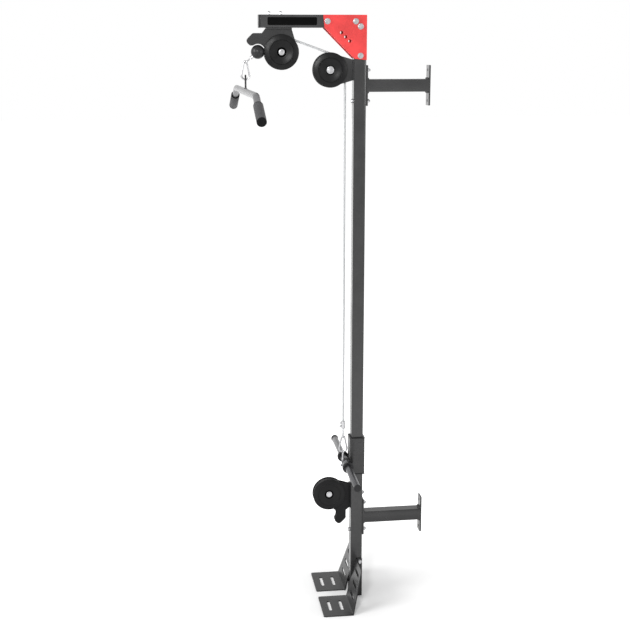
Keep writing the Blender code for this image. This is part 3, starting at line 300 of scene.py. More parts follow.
CABLE_COAT = (stranded("cable_clear_coat", (0.55, 0.56, 0.57), 0.22, 0.0, 0.15,
                       Coat_Weight=0.6, Coat_Roughness=0.12), "cable_coat")
STRANDS = (stranded("steel_strands", (0.6, 0.61, 0.63), 0.32, 0.9, 0.8), "cable_core")

# Painted shade: a near-black copy of the cover plastic on the floor of a cover's recess, on faces of the cover's
# own piece
RECESS_PAINTED_SHADE = moulding("cover_recess_painted_shade", grey(0.001, 0), 0.6, 3200, 0.05, 0.02)


# Mesh helpers

HEX_STEPS = 48  # sides of a hexagon piece's rings
HEX_DOME = 0.12  # share of its height that the turned corners take
HEX_DROP = 0.9  # how far the cone reaches into that share
HEX_TOP = 0.97  # size of its top face, against the flats
HEX_EDGE = 0.00018


def centre(node):
    low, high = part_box(node)
    return (low + high) / 2


def half_size(node):
    low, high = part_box(node)
    return (high - low) / 2


def joint_place(name):
    return Vector(JOINTS[name]["pos_m"])


def turn_to(axis):
    """The rotation that takes +Z to an axis."""
    return Z.rotation_difference(Vector(axis).normalized()).to_matrix()


def arc(middle, radius, start, end, steps):
    angles = [math.radians(start + (end - start) * i / steps) for i in range(steps + 1)]
    return [(middle[0] + radius * math.cos(a), middle[1] + radius * math.sin(a)) for a in angles]


def circle(count):
    """Cosine and sine of even steps round a circle."""
    return arc((0, 0), 1, 0, 360, count)[:-1]


def rounded_rectangle(low, high, corner, steps):
    (left, bottom), (right, top) = low, high
    middles = ((right - corner, top - corner), (left + corner, top - corner),
               (left + corner, bottom + corner), (right - corner, bottom + corner))
    return [spot for quarter, middle in enumerate(middles)
            for spot in arc(middle, corner, 90 * quarter, 90 * quarter + 90, steps)]


def along(start, end, steps):
    """Evenly spaced points from one place to another."""
    start, end = Vector(start), Vector(end)
    return [start + (end - start) * i / steps for i in range(steps + 1)]


def filleted(points, fillet=0, steps=3):
    """A profile with small arcs at its corners; a point's third number is its own fillet."""
    made = []
    for i, (a, b, *own) in enumerate(points):
        size = own[0] if own else fillet
        if not size:
            made.append((a, b))
            continue
        here = Vector((a, b))
        back = Vector(points[i - 1][:2]) - here
        ahead = Vector(points[(i + 1) % len(points)][:2]) - here
        reach = min(size, back.length * 0.45, ahead.length * 0.45)
        start, end = here + back.normalized() * reach, here + ahead.normalized() * reach
        for step in range(steps + 1):
            t = step / steps
            made.append(tuple(start * (1 - t) ** 2 + here * (2 * t * (1 - t)) + end * t * t))
    return made


def new_object(name, data):
    made = bpy.data.objects.new(name, data)
    bpy.context.scene.collection.objects.link(made)
    return made


def mesh_object(name, builder):
    """A bmesh as an object of the scene; the bmesh is freed."""
    mesh = bpy.data.meshes.new(name)
    builder.to_mesh(mesh)
    builder.free()
    return new_object(name, mesh)


def finish_piece(name, builder, look, smooth=SMOOTH):
    """Turn a bmesh in frame places into a piece, with normals out and round parts smooth."""
    material, slot = look
    bmesh.ops.recalc_face_normals(builder, faces=builder.faces)
    piece = mesh_object(name, builder)
    piece.data.materials.append(material)
    piece.data.shade_smooth()
    piece.data.set_sharp_from_angle(angle=math.radians(smooth))
    return piece


def stand_for(piece, node):
    """The piece replaces a CAD node and rides on its body."""
    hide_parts(node)
    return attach(piece, BODY_OF[node])


def bevel(piece, width, segments=3, angle=30):
    """Round a piece's edges, as paint and tooling leave them."""
    step = piece.modifiers.new("edges", "BEVEL")
    step.width = width
    step.segments = segments
    step.angle_limit = math.radians(angle)
    step.harden_normals = True
    return piece


def subtract(piece, tool):
    """The mesh of a piece without the space of a tool, which is removed."""
    step = piece.modifiers.new("cut", "BOOLEAN")
    step.operation = "DIFFERENCE"
    step.object = tool
    cut = piece.evaluated_get(bpy.context.evaluated_depsgraph_get())
    left = bpy.data.meshes.new_from_object(cut)
    piece.modifiers.clear()
    bpy.data.objects.remove(tool)
    return left


def bridge(builder, one, two):
    """Faces between two rings with as many vertices."""
    for i in range(len(one)):
        j = (i + 1) % len(one)
        builder.faces.new((one[i], one[j], two[j], two[i]))


def skin(builder, rings, walk, closed):
    """Faces along rings of vertices, some of them a single point, with UVs round and along."""
    uv = builder.loops.layers.uv.new("UVMap")
    for i in range(len(rings) if closed else len(rings) - 1):
        one, two = rings[i], rings[(i + 1) % len(rings)]
        count = max(len(one), len(two))
        for k in range(count):
            corners = [(one, k, i), (one, k + 1, i), (two, k + 1, i + 1), (two, k, i + 1)]
            if len(one) == 1:
                corners.pop(1)
            elif len(two) == 1:
                corners.pop(3)
            face = builder.faces.new([ring[at % len(ring)] for ring, at, _ in corners])
            for loop, (_, at, row) in zip(face.loops, corners):
                loop[uv].uv = (at / count, walk[row])


def prism(outline, across, low, high):
    """A bmesh from an outline in the plane across an axis, between two levels on it."""
    builder = bmesh.new()
    at = "XYZ".index(across)
    one, two = ([builder.verts.new((*spot[:at], level, *spot[at:])) for spot in outline]
                for level in (low, high))
    builder.faces.new(one)
    builder.faces.new(two)
    bridge(builder, one, two)
    return builder


def turned(name, points, place, axis, look, segments, smooth=SMOOTH, **rounding):
    """Turn (radius, distance, fillet) points about an axis; open if they end on the axis."""
    profile = filleted(points, **rounding)
    builder = bmesh.new()
    turn, steps = turn_to(axis), circle(segments)
    walk = [0]
    for before, after in zip(profile, profile[1:] + profile[:1]):
        walk.append(walk[-1] + math.dist(before, after))
    rings = [[builder.verts.new(Vector(place) + turn @ Vector((radius * c, radius * s, level)))
              for c, s in (steps if radius else steps[:1])] for radius, level in profile]
    skin(builder, rings, walk, closed=profile[-1][0] != 0)
    return finish_piece(name, builder, look, smooth)


def swept(name, path, radius, look, sides, closed=False, domed=0):
    """A wire along a path, carried round without twist; the radius may be a list."""
    points = [Vector(p) for p in path]
    sizes = radius if isinstance(radius, list) else [radius] * len(points)
    past = (points[-1], *points, points[0]) if closed else (points[0], *points, points[-1])
    headings = [(after - before).normalized() for before, after in zip(past, past[2:])]
    builder = bmesh.new()
    side = headings[0].orthogonal().normalized()
    rings, walk = [], [0]
    for i, (point, heading, size) in enumerate(zip(points, headings, sizes)):
        if i:
            side = (headings[i - 1].rotation_difference(heading) @ side).normalized()
            walk.append(walk[-1] + (point - points[i - 1]).length)
        other = heading.cross(side)
        rings.append([builder.verts.new(point + size * (c * side + s * other))
                      for c, s in circle(sides)])
    skin(builder, rings, walk + walk[-1:], closed)
    if not closed:
        for ring, tip in ((rings[0], points[0] - headings[0] * domed),
                          (rings[-1], points[-1] + headings[-1] * domed)):
            top = builder.verts.new(tip)
            for k in range(sides):
                builder.faces.new((ring[k], ring[(k + 1) % sides], top))
    return finish_piece(name, builder, look, WIRE_SMOOTH)


def washer(name, place, axis, low, high, inner, outer, fillet, segments):
    ring = [(inner, low), (outer, low), (outer, high), (inner, high)]
    return turned(name, ring, place, axis, ZINC, segments, fillet=fillet)


def hex_piece(name, place, axis, low, high, radius, turn=0):
    """A hexagon nut or head along an axis, its outer corners turned off to a cone."""
    builder = bmesh.new()
    turning, swing = turn_to(axis), math.radians(turn)
    flat = radius * math.cos(math.pi / 6)
    angles = [2 * math.pi * i / HEX_STEPS for i in range(HEX_STEPS)]
    foot = [(flat / math.cos((a + math.pi / 6) % (math.pi / 3) - math.pi / 6), 0) for a in angles]
    cone = [(size, 1 - HEX_DOME * (1 + HEX_DROP * (size - flat) / (radius - flat)))
            for size, _ in foot]
    top = [(flat * HEX_TOP, 1)] * HEX_STEPS
    foot, cone, top = ([builder.verts.new(Vector(place) + turning @ Vector(
        (size * math.cos(a + swing), size * math.sin(a + swing), low + (high - low) * level)))
        for a, (size, level) in zip(angles, ring)] for ring in (foot, cone, top))
    bridge(builder, foot, cone)
    bridge(builder, cone, top)
    builder.faces.new(foot)
    builder.faces.new(top)
    return bevel(finish_piece(name, builder, ZINC, 25), HEX_EDGE, 2, 35)


# Bolts: radii of washer, hexagon's corners and shaft; heights of washer, head, nut and tail

GUSSET_BOLT = (0.0105, 0.0088, 0.005, 0.002, 0.0048, 0.008, 0.003)
SMALL_BOLT = (0.0079, 0.0075, 0.004, 0.0012, 0.0053, 0.0065, 0.0035)
TAIL_EDGE = 0.0006
WASHER_FILLET = 0.3  # share of the washer's thickness
HEAD_TURN, NUT_TURN = 11, 23


def dress_bolt(node, axis, washer_r, hex_r, shaft_r, thick, head, nut, tail):
    """Washers, head, nut and threaded tail for a CAD bolt, whose head is towards the axis."""
    place, body = centre(node), BODY_OF[node]
    half = abs(half_size(node).dot(axis))
    head_seat, nut_seat = half - head, half - tail - nut
    shank = turned(f"{node}_shank", [(0, -half), (shaft_r, -half, TAIL_EDGE),
                                     (shaft_r, head_seat), (0, head_seat)],
                   place, axis, THREAD, 32)
    stand_for(shank, node)
    for label, start in (("head", head_seat - thick), ("nut", -nut_seat)):
        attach(washer(f"{node}_{label}_washer", place, axis, start, start + thick, shaft_r,
                       washer_r, thick * WASHER_FILLET, 48), body)
    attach(hex_piece(f"{node}_head", place, axis, head_seat, half, hex_r, HEAD_TURN), body)
    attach(hex_piece(f"{node}_nut", place, -axis, nut_seat, half - tail, hex_r, NUT_TURN), body)


def dress_frame_bolts():
    for number in (1, 2, 3, 4):
        dress_bolt(f"gusset_bolt_{number}", X, *GUSSET_BOLT)
    for node in ("upper_arm_bolt_top", "upper_arm_bolt_bottom", "lower_arm_bolt_top",
                 "lower_arm_bolt_bottom", "lower_bracket_bolt"):
        dress_bolt(node, -Y, *SMALL_BOLT)
    for number in (1, 2):
        dress_bolt(f"front_bracket_bolt_{number}", -Z, *SMALL_BOLT)
    dress_bolt("foot_bolt", X, *SMALL_BOLT)


# Frame

FLAT_NODES = (
    (FRAME_PAINT, ("post", "beam", "upper_wall_arm")),
    (LOW_FRAME_PAINTED_SHADE, ("carriage_sleeve", "lower_wall_arm")),
    (FOOT_PAINTED_SHADE, ("foot_plate_right", "foot_plate_left")),
    (BRACKET_PAINT, ("front_pulley_bracket", "rear_pulley_bracket")),
    (LOWER_BRACKET_PAINTED_SHADE, ("lower_pulley_bracket",)),
    (RED_PAINT, ("gusset_right", "gusset_left")),
    (BLACK_PLASTIC, ("beam_end_cap", "post_foot_cap", "slide_liner")),
)
SAME_SPOT = 0.00002  # vertices this close are one
SAME_LEVEL = 0.0005

# A foot plate's fold is a long edge along X between faces at these angles
FOLD_LENGTH = 0.15
FOLD_ALONG_X = 0.99
FOLD_ANGLES = (60, 85)
FOLD_R = 0.003
FOOT_CORNER_R = 0.006

# The opening in its side web, from the post's front
WEB_ROOM = 0.001
WEB_CUT_FRONT = -0.0345
WEB_CUT_TOP = 0.042
WEB_CUT_REACH = 0.03

# Weld beads
ARM_WELD_R = 0.0033
ARM_WELD_IN = 0.0016  # its middle outside the tube and off the plate
ARM_PLATE = 0.006
ARM_CORNER = 0.0035
HORN_WELD_R = 0.0026
HORN_WELD_IN = 0.0014
HORN_WELD_RISE = 0.0082
HORN_WELD_HALF = 0.019
WELD_PITCH = 0.0021
WELD_RIPPLE = 0.1
WELD_RIPPLE_STEPS = 6
WELD_TAPER = (0.55, 6)  # share of its size at the ends, and how fast it is full

# The label on the beam's side, from the beam's front, bottom and top
LABEL_FRONT, LABEL_BACK = 0.0253, 0.2007
LABEL_RISE, LABEL_DROP = 0.009, 0.0085
LABEL_CORNER = 0.004
LABEL_IN, LABEL_OUT = 0.0001, 0.0003
LABEL_EDGE = 0.00015


def dissolve(builder, degrees):
    """Merge faces that lie in one plane."""
    bmesh.ops.dissolve_limit(builder, angle_limit=math.radians(degrees), verts=builder.verts,
                             edges=builder.edges)


def round_edges(builder, edges, radius, segments):
    bmesh.ops.bevel(builder, geom=edges, offset=radius, segments=segments, profile=0.5,
                    affect="EDGES", clamp_overlap=True)


def round_folds(builder):
    """Round the bend between a folded plate's floor flange and its leaning face."""
    folds = []
    for edge in builder.edges:
        run = edge.verts[1].co - edge.verts[0].co
        if (len(edge.link_faces) == 2 and run.length > FOLD_LENGTH
                and abs(run.x) > FOLD_ALONG_X * run.length):
            angle = abs(math.degrees(edge.calc_face_angle_signed()))
            if FOLD_ANGLES[0] < angle < FOLD_ANGLES[1]:
                folds.append(edge)
    round_edges(builder, folds, FOLD_R, 5)


def round_corners(builder):
    """Round the flange's square corner at the front, beside the gap between the two plates."""
    front = min(vert.co.y for vert in builder.verts) + SAME_LEVEL
    inner = min(abs(vert.co.x) for vert in builder.verts if vert.co.y < front) + SAME_LEVEL
    corners = [edge for edge in builder.edges
               if all(vert.co.y < front and abs(vert.co.x) < inner for vert in edge.verts)]
    round_edges(builder, corners, FOOT_CORNER_R, 4)


def cut_web(builder):
    """Open the side web between the leaning face's back and the front of the post."""
    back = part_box("post")[0].y - WEB_ROOM
    outline = [(back, -WEB_ROOM), (WEB_CUT_FRONT, -WEB_ROOM), (WEB_CUT_FRONT, 0),
               (back, WEB_CUT_TOP)]
    tool = prism(outline, "X", -WEB_CUT_REACH, WEB_CUT_REACH)
    bmesh.ops.recalc_face_normals(tool, faces=tool.faces)
    whole = mesh_object("web_whole", builder)
    left = subtract(whole, mesh_object("web_cutter", tool))
    bpy.data.objects.remove(whole)
    opened = bmesh.new()
    opened.from_mesh(left)
    return opened


def softened(node, look):
    """A copy of a flat-sided CAD node with its edges rounded."""
    builder = bmesh.new()
    builder.from_mesh(NODES[node].data)
    bmesh.ops.remove_doubles(builder, verts=builder.verts, dist=SAME_SPOT)
    dissolve(builder, 2)
    # The foot plates, found by their look: the frame paint darkened as painted shade
    if look is FOOT_PAINTED_SHADE:
        round_corners(builder)
        builder = cut_web(builder)
        dissolve(builder, 1)
        round_folds(builder)
    stand_for(bevel(finish_piece(f"{node}_finish", builder, look), EDGE), node)


def dress_frame():
    for look, nodes in FLAT_NODES:
        for node in nodes:
            softened(node, look)


def weld_bead(name, half, y, z, radius, body):
    """A weld along X, rippled along its length."""
    ripples = 2 * half / WELD_PITCH
    path = along((-half, y, z), (half, y, z), int(ripples * WELD_RIPPLE_STEPS))
    sizes = []
    for i in range(len(path)):
        share = i / (len(path) - 1)
        taper = min(1, WELD_TAPER[0] + WELD_TAPER[1] * min(share, 1 - share))
        ripple = 1 + WELD_RIPPLE * math.sin(2 * math.pi * share * ripples)
        sizes.append(radius * taper * ripple)
    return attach(swept(name, path, sizes, FRAME_WELD, 16, domed=radius * 0.3), body)


def dress_welds():
    """Beads above and below each arm's tube at both plates, and along the plate bar."""
    for level in ("upper", "lower"):
        low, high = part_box(f"{level}_wall_arm")
        middle = (low.z + high.z) / 2
        half = high.x
        for place, y in (("post", low.y + ARM_PLATE + ARM_WELD_IN),
                         ("wall", high.y - ARM_PLATE - ARM_WELD_IN)):
            for end, up in ENDS:
                z = middle + up * (half + ARM_WELD_IN)
                weld_bead(f"{level}_arm_weld_{place}_{end}", half - ARM_CORNER, y, z,
                          ARM_WELD_R, "frame")
    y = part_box("carriage_sleeve")[0].y - HORN_WELD_IN
    for end, up in ENDS:
        z = centre("horn_collar_right").z + up * HORN_WELD_RISE
        weld_bead(f"horn_weld_{end}", HORN_WELD_HALF, y, z, HORN_WELD_R, "carriage")


def dress_label():
    """The bare label on the beam's right side."""
    low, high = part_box("beam")
    outline = rounded_rectangle((low.y + LABEL_FRONT, low.z + LABEL_RISE),
                                (low.y + LABEL_BACK, high.z - LABEL_DROP), LABEL_CORNER, 6)
    film = prism(outline, "X", high.x - LABEL_IN, high.x + LABEL_OUT)
    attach(bevel(finish_piece("beam_label", film, LABEL_FILM), LABEL_EDGE), "frame")


# Pulleys

# Covers: thickness at the rim and of the recess's floor, and radii
COVER_RIM, COVER_FLOOR = 0.0026, 0.001
COVER_BORE_R, RECESS_R, RIDGE_R = 0.0063, 0.017, 0.0427
RECESS_DEPTH = 0.0022
RECESS_DRAFT = 0.0004
LINE_WIDTH, LINE_DEPTH = 0.0008, 0.0013  # the fine ring line on the ridge
COVER_CHAMFER = 0.001
COVER_SOFT = 0.003
INNER_STEPS, OUTER_STEPS = (0.25, 0.5, 0.75), (0.3, 0.6, 0.85)
INNER_CURVE, OUTER_CURVE = 0.55, 1.5  # the inner cone's share of curve, the outer's power

# Wheel and bearing
WHEEL_BORE_R = 0.0143
GROOVE_FLOOR_R, GROOVE_R = 0.0507, 0.0042
GROOVE_HALF = 0.0059
BORE_FILLET, WHEEL_FILLET = 0.0004, 0.0008
RACE_R, SHIELD_R = 0.002, 0.0085  # the outer race's width, the inner race's radius
RACE_STEP, RACE_BACK = 0.0004, 0.0005

# Axle; the heads and their washers differ between the pulleys, as in the photograph
AXLE_R = 0.006
AXLE_WASHER, AXLE_SEAT = 0.0011, 0.0035
AXLE_HEAD_R = {"front": 0.0105, "rear": 0.0135, "lower": 0.0112}
AXLE_HEX = 0.9
AXLE_NUT_WASHER_R, AXLE_NUT_R = 0.0105, 0.0098
AXLE_END, AXLE_TAIL = 0.001, 0.002


def dress_cover(node, place, sign):
    """A dished cover: rim, cone up to a ridge with a fine ring line, inner cone and recess, the recess in painted
    shade.
    """
    low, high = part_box(node)
    inner, full = sorted((abs(low.x), abs(high.x)))
    radius = half_size(node).z
    floor = inner + COVER_FLOOR
    lip = floor + RECESS_DEPTH
    edge, shoulder = radius - COVER_CHAMFER, inner + COVER_RIM + COVER_CHAMFER
    profile = [(COVER_BORE_R, inner), (COVER_BORE_R, floor),
               (RECESS_R - RECESS_DRAFT, floor, 0.0008), (RECESS_R, lip, 0.0012)]
    for share in INNER_STEPS:
        rise = INNER_CURVE * (1 - math.cos(math.pi * share)) / 2 + (1 - INNER_CURVE) * share
        profile.append((RECESS_R + (RIDGE_R - RECESS_R) * share, lip + (full - lip) * rise,
                        COVER_SOFT))
    profile += [(RIDGE_R - LINE_WIDTH, full, 0.0003), (RIDGE_R, full - LINE_DEPTH, 0.0002),
                (RIDGE_R + LINE_WIDTH, full, 0.0003)]
    for share in OUTER_STEPS:
        profile.append((RIDGE_R + (edge - RIDGE_R) * share,
                        full - (full - shoulder) * share ** OUTER_CURVE, COVER_SOFT))
    profile += [(edge, shoulder, 0.001), (radius, inner + COVER_RIM, 0.0006), (radius, inner)]
    piece = turned(f"{node}_finish", profile, place, X * sign, COVER_PLASTIC, 128, smooth=28)
    # Painted shade on the recess: its floor faces take the near-black copy
    piece.data.materials.append(RECESS_PAINTED_SHADE)
    for face in piece.data.polygons:
        spot = face.center
        if (spot - place).yz.length < RECESS_R and abs(spot.x) > inner + COVER_FLOOR / 2:
            face.material_index = 1
    stand_for(piece, node)


def dress_wheel(label, place):
    """The grooved nylon wheel and a shielded bearing in its bore."""
    node, bearing = f"{label}_pulley", f"{label}_pulley_bearing"
    half, _, radius = half_size(node)
    groove = [(GROOVE_FLOOR_R + GROOVE_R * (1 - math.sin(a)), -GROOVE_R * math.cos(a))
              for a in map(math.radians, (20, 45, 70, 90, 110, 135, 160))]
    side = [(WHEEL_BORE_R, half, BORE_FILLET), (radius, half, WHEEL_FILLET),
            (radius, GROOVE_HALF, WHEEL_FILLET)]
    profile = [(r, -x, fillet) for r, x, fillet in side] + groove + side[::-1]
    stand_for(turned(f"{node}_finish", profile, place, X, NYLON, 128), node)
    half, _, outer = half_size(bearing)
    race, back = outer - RACE_R, half - RACE_BACK
    edge = [(COVER_BORE_R, half), (SHIELD_R, half), (SHIELD_R, back - RACE_STEP),
            (race, back - RACE_STEP), (race, back), (outer, back)]
    profile = [(r, -x) for r, x in edge] + edge[::-1]
    stand_for(turned(f"{bearing}_finish", profile, place, X, ZINC, 64, fillet=0.0002, steps=2),
              bearing)


def dress_axle(label, place):
    """The through bolt: a hexagon head on a washer in one recess, a nut in the other."""
    node = f"{label}_pulley_axle"
    low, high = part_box(node)
    head_r, seat, end = AXLE_HEAD_R[label], high.x - AXLE_SEAT, high.x - AXLE_END
    shank = turned(f"{node}_shank", [(0, low.x), (AXLE_R, low.x), (AXLE_R, end), (0, end)],
                   place, X, THREAD, 40)
    stand_for(shank, node)
    top = seat + AXLE_WASHER
    for name, axis, reach in (("head", X, head_r), ("nut", -X, AXLE_NUT_WASHER_R)):
        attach(washer(f"{node}_{name}_washer", place, axis, seat, top, AXLE_R, reach, 0.0003,
                       64), "frame")
    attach(hex_piece(f"{node}_head", place, X, top, high.x, head_r * AXLE_HEX, 8), "frame")
    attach(hex_piece(f"{node}_nut", place, -X, top, -low.x - AXLE_TAIL, AXLE_NUT_R, 19),
            "frame")


def dress_pulleys():
    for label in ("front", "rear", "lower"):
        place = joint_place(f"{label}_pulley_spin")
        dress_wheel(label, place)
        dress_axle(label, place)
        for side, sign in SIDES:
            dress_cover(f"{label}_pulley_cover_{side}", place, sign)


# Cable and ball

BALL_R = 0.0245
BALL_TO_LINK = 0.059
BALL_MOUTH = 0.0003  # the ball's hole over the cable
BALL_STEPS = 40
SEAM_DEPTH = 0.0002
FERRULE_R, FERRULE_END_R, END_SHANK_R = 0.006, 0.0042, 0.0028
FERRULE, FERRULE_IN = 0.009, 0.004
EYE_R = 0.007


def cable_route():
    """The strand over both upper pulleys, from the front pulley's exit to the drop."""
    front, rear = joint_place("front_pulley_spin"), joint_place("rear_pulley_spin")
    leaving = math.degrees(math.atan2(-PULL_WAY.y, PULL_WAY.z)) + 180
    square = math.degrees(math.atan2(rear.z - front.z, rear.y - front.y)) + 90
    radius = centre("cable_rear_drop").y - rear.y
    points = arc((front.y, front.z), radius, leaving, square, 20)
    points += arc((rear.y, rear.z), radius, square, 0, 20)
    return [(0, y, z) for y, z in points]


def dress_cables():
    """The cable over the pulleys, the strand that the ball pulls out, and the rear drop."""
    route = cable_route()
    stand_for(swept("cable_over", route, CABLE_R, CABLE_COAT, 20), "cable_over_pulleys")
    start, ball = Vector(route[0]), centre("stop_ball")
    strand = swept("cable_strand", along(start, ball, 90), CABLE_R, CABLE_COAT, 20)
    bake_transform(strand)
    y = centre("cable_rear_drop").y
    top = joint_place("rear_pulley_spin").z
    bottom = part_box("cable_clip")[0].z + 0.001
    drop = swept("cable_drop", along((0, y, top), (0, y, bottom), 60), CABLE_R, CABLE_COAT, 20)
    stand_for(drop, "cable_rear_drop")
    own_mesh(drop)


def dress_ball():
    """The stop ball with its moulding line, the ferrule, shank and eye ring."""
    place = joint_place("front_hook_swing") - PULL_WAY * BALL_TO_LINK
    mouth = math.asin((CABLE_R + BALL_MOUTH) / BALL_R)
    profile = []
    for step in range(BALL_STEPS + 1):
        angle = mouth + (math.pi - 2 * mouth) * step / BALL_STEPS
        radius = BALL_R - (SEAM_DEPTH if step == BALL_STEPS // 2 else 0.0)
        profile.append((radius * math.sin(angle), radius * math.cos(angle)))
    ball = turned("stop_ball_finish", profile, place, PULL_WAY, BALL_RUBBER, 96, smooth=60)
    stand_for(ball, "stop_ball")
    start, end = BALL_R - FERRULE_IN, BALL_R + FERRULE
    eye, foot = BALL_TO_LINK - EYE_R, BALL_TO_LINK - 2 * EYE_R
    profile = [(CABLE_R, start), (FERRULE_R, start, 0.0004), (FERRULE_R, end, 0.0012),
               (FERRULE_END_R, end + 0.0008, 0.0004), (END_SHANK_R, end + 0.001, 0.001),
               (END_SHANK_R, foot, 0.0006), (0, foot)]
    stand_for(turned("cable_end_finish", profile, place, PULL_WAY, ZINC, 48), "cable_front_end")
    ring = [place + PULL_WAY * eye + EYE_R * (c * PULL_WAY + s * X) for c, s in circle(48)]
    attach(swept("cable_end_ring", ring, CORE_R, ZINC, 20, closed=True), "ball_end")


# Snap hooks

HOOK_WIRE_R, HOOK_SMALL_R, HOOK_LARGE_R = 0.00325, 0.006, 0.0145
HOOK_LENGTH = 0.07
HOOK_RISE = 0.0575  # from the low ring's link to the small bend's middle
HOOK_NOSE, HOOK_FOOT = 0.005, 0.006
GATE_R = 0.003
GATE_GAP = 0.0005
GATE_EDGE = 0.0006
RIVET = [(0, GATE_R + 0.0002), (0.0011, GATE_R), (0.0015, GATE_R - 0.0006), (0, GATE_R - 0.0008)]


def dress_hook(node, bottom, hinge):
    """A bent-wire snap hook, its sprung gate and the gate's rivet."""
    top = bottom + Z * HOOK_RISE
    spread = HOOK_LENGTH - 2 * HOOK_WIRE_R - HOOK_SMALL_R - HOOK_LARGE_R
    lean = math.asin((HOOK_LARGE_R - HOOK_SMALL_R) / spread)
    tilt, out = math.degrees(lean), Vector((math.cos(lean), math.sin(lean)))
    small_end = out * HOOK_SMALL_R
    large_end = out * HOOK_LARGE_R - Vector((0, spread))
    way = (small_end - large_end).normalized()
    nose, foot = small_end - way * HOOK_NOSE, large_end + way * HOOK_FOOT
    path = [nose, *arc((0, 0), HOOK_SMALL_R, tilt, 180 - tilt, 20),
            *arc((0, -spread), HOOK_LARGE_R, 180 - tilt, 360 + tilt, 36), foot]
    points = [(0, top.y + a, top.z + b) for a, b in path]
    stand_for(swept(f"{node}_finish", points, HOOK_WIRE_R, ZINC, 24, domed=0.0006), node)
    gate = f"{node}_gate"
    tip = nose - way * GATE_GAP
    reach = Vector((0, top.y + tip.x, top.z + tip.y)) - hinge
    profile = [(0, -GATE_R), *arc((0, 0), GATE_R, -80, 0, 8),
               (GATE_R, reach.length - GATE_EDGE), (GATE_R - GATE_EDGE, reach.length),
               (0, reach.length)]
    stand_for(turned(f"{gate}_finish", profile, hinge, reach, ZINC, 32), gate)
    for side, sign in SIDES:
        rivet = turned(f"{gate}_rivet_{side}", RIVET, hinge, X * sign, ZINC, 24)
        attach(rivet, BODY_OF[gate])


def dress_hooks():
    """Both hooks; the lower one hangs from its gate's hinge as the front one does."""
    link, hinge = joint_place("pull_bar_rock"), joint_place("front_gate_turn")
    dress_hook("front_snap_hook", link, hinge)
    low_hinge = joint_place("lower_gate_turn")
    dress_hook("lower_snap_hook", low_hinge - (hinge - link), low_hinge)


# Clip and loop

LOOP_R = 0.007
LOOP_NECK = 0.0025
LOOP_SHOULDERS = ((0.0036, 0.009), (0.0058, 0.018))  # half width, and depth under the clip
LOOP_SIDE = (0.0068, 0.0145)  # half width, and height over its low end
CLIP_HALF_X, CLIP_HALF_Y = 0.0105, 0.0065
CLIP_CORNER, CLIP_EDGE = 0.005, 0.0008
CLIP_NUTS = (("upper", 0.007), ("lower", -0.007))
CLIP_NUT_R, CLIP_NUT_IN, CLIP_NUT_OUT = 0.0048, 0.0005, 0.005
STUD = [(0, 0), (0.0025, 0), (0.0025, 0.0075), (0.0019, 0.008), (0, 0.008)]


def dress_clip_and_loop():
    """The bare core's loop and the double clip that closes it."""
    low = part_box("cable_rear_loop")[0]
    clip_low, clip_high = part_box("cable_clip")
    y = clip_high.y - CLIP_HALF_Y
    top = clip_low.z + 0.001
    left = [(-LOOP_NECK, top), (-LOOP_NECK, top - 0.003),
            *((-half, top - depth) for half, depth in LOOP_SHOULDERS),
            (-LOOP_SIDE[0], low.z + LOOP_SIDE[1])]
    bend = arc((0, low.z + LOOP_R + CORE_R), LOOP_R, -180, 0, 18)
    path = [(x, y, z) for x, z in left + bend + [(-x, z) for x, z in reversed(left)]]
    stand_for(swept("cable_loop_finish", path, CORE_R, STRANDS, 20), "cable_rear_loop")
    outline = rounded_rectangle((-CLIP_HALF_X, y - CLIP_HALF_Y), (CLIP_HALF_X, y + CLIP_HALF_Y),
                                CLIP_CORNER, 8)
    block = finish_piece("cable_clip_finish", prism(outline, "Z", clip_low.z, clip_high.z), ZINC)
    stand_for(bevel(block, CLIP_EDGE), "cable_clip")
    for label, rise in CLIP_NUTS:
        spot = (0, y, (clip_low.z + clip_high.z) / 2 + rise)
        nut = hex_piece(f"clip_nut_{label}", spot, -Y, CLIP_HALF_Y - CLIP_NUT_IN,
                        CLIP_HALF_Y + CLIP_NUT_OUT, CLIP_NUT_R)
        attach(nut, "carriage")
        stud = turned(f"clip_stud_{label}", [(r, CLIP_HALF_Y + out) for r, out in STUD], spot,
                      -Y, THREAD, 24)
        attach(stud, "carriage")


# Carriage

HORN_R = 0.0125
FIT = 0.0003  # room between a bar and what is pushed over it
CAP_LENGTH, CAP_END = 0.0065, 0.003
COLLAR_FILLET = 0.003
LUG_HOLE_R = 0.005
LUG_HOLE_DROP = 0.00105  # its middle under the hook's own link
STRAP_THICK, STRAP_HALF = 0.004, 0.01
STRAP_CORNER, STRAP_EDGE = 0.002, 0.0005
STRAP_HOLE_DROP = 0.026679  # from the lower gate's hinge to the hook's link
CURL_DEPTH, CURL_WIDTH = 2.1, 0.9  # shares of the strap's thickness and width
CURL_LOW, CURL_HIGH, CURL_EDGE = 0.0005, 0.004, 0.0012
HORN_BEAD = [(0.0125, -0.009), (0.0142, -0.0085), (0.0148, 0), (0.0142, 0.0085),
             (0.0125, 0.009)]


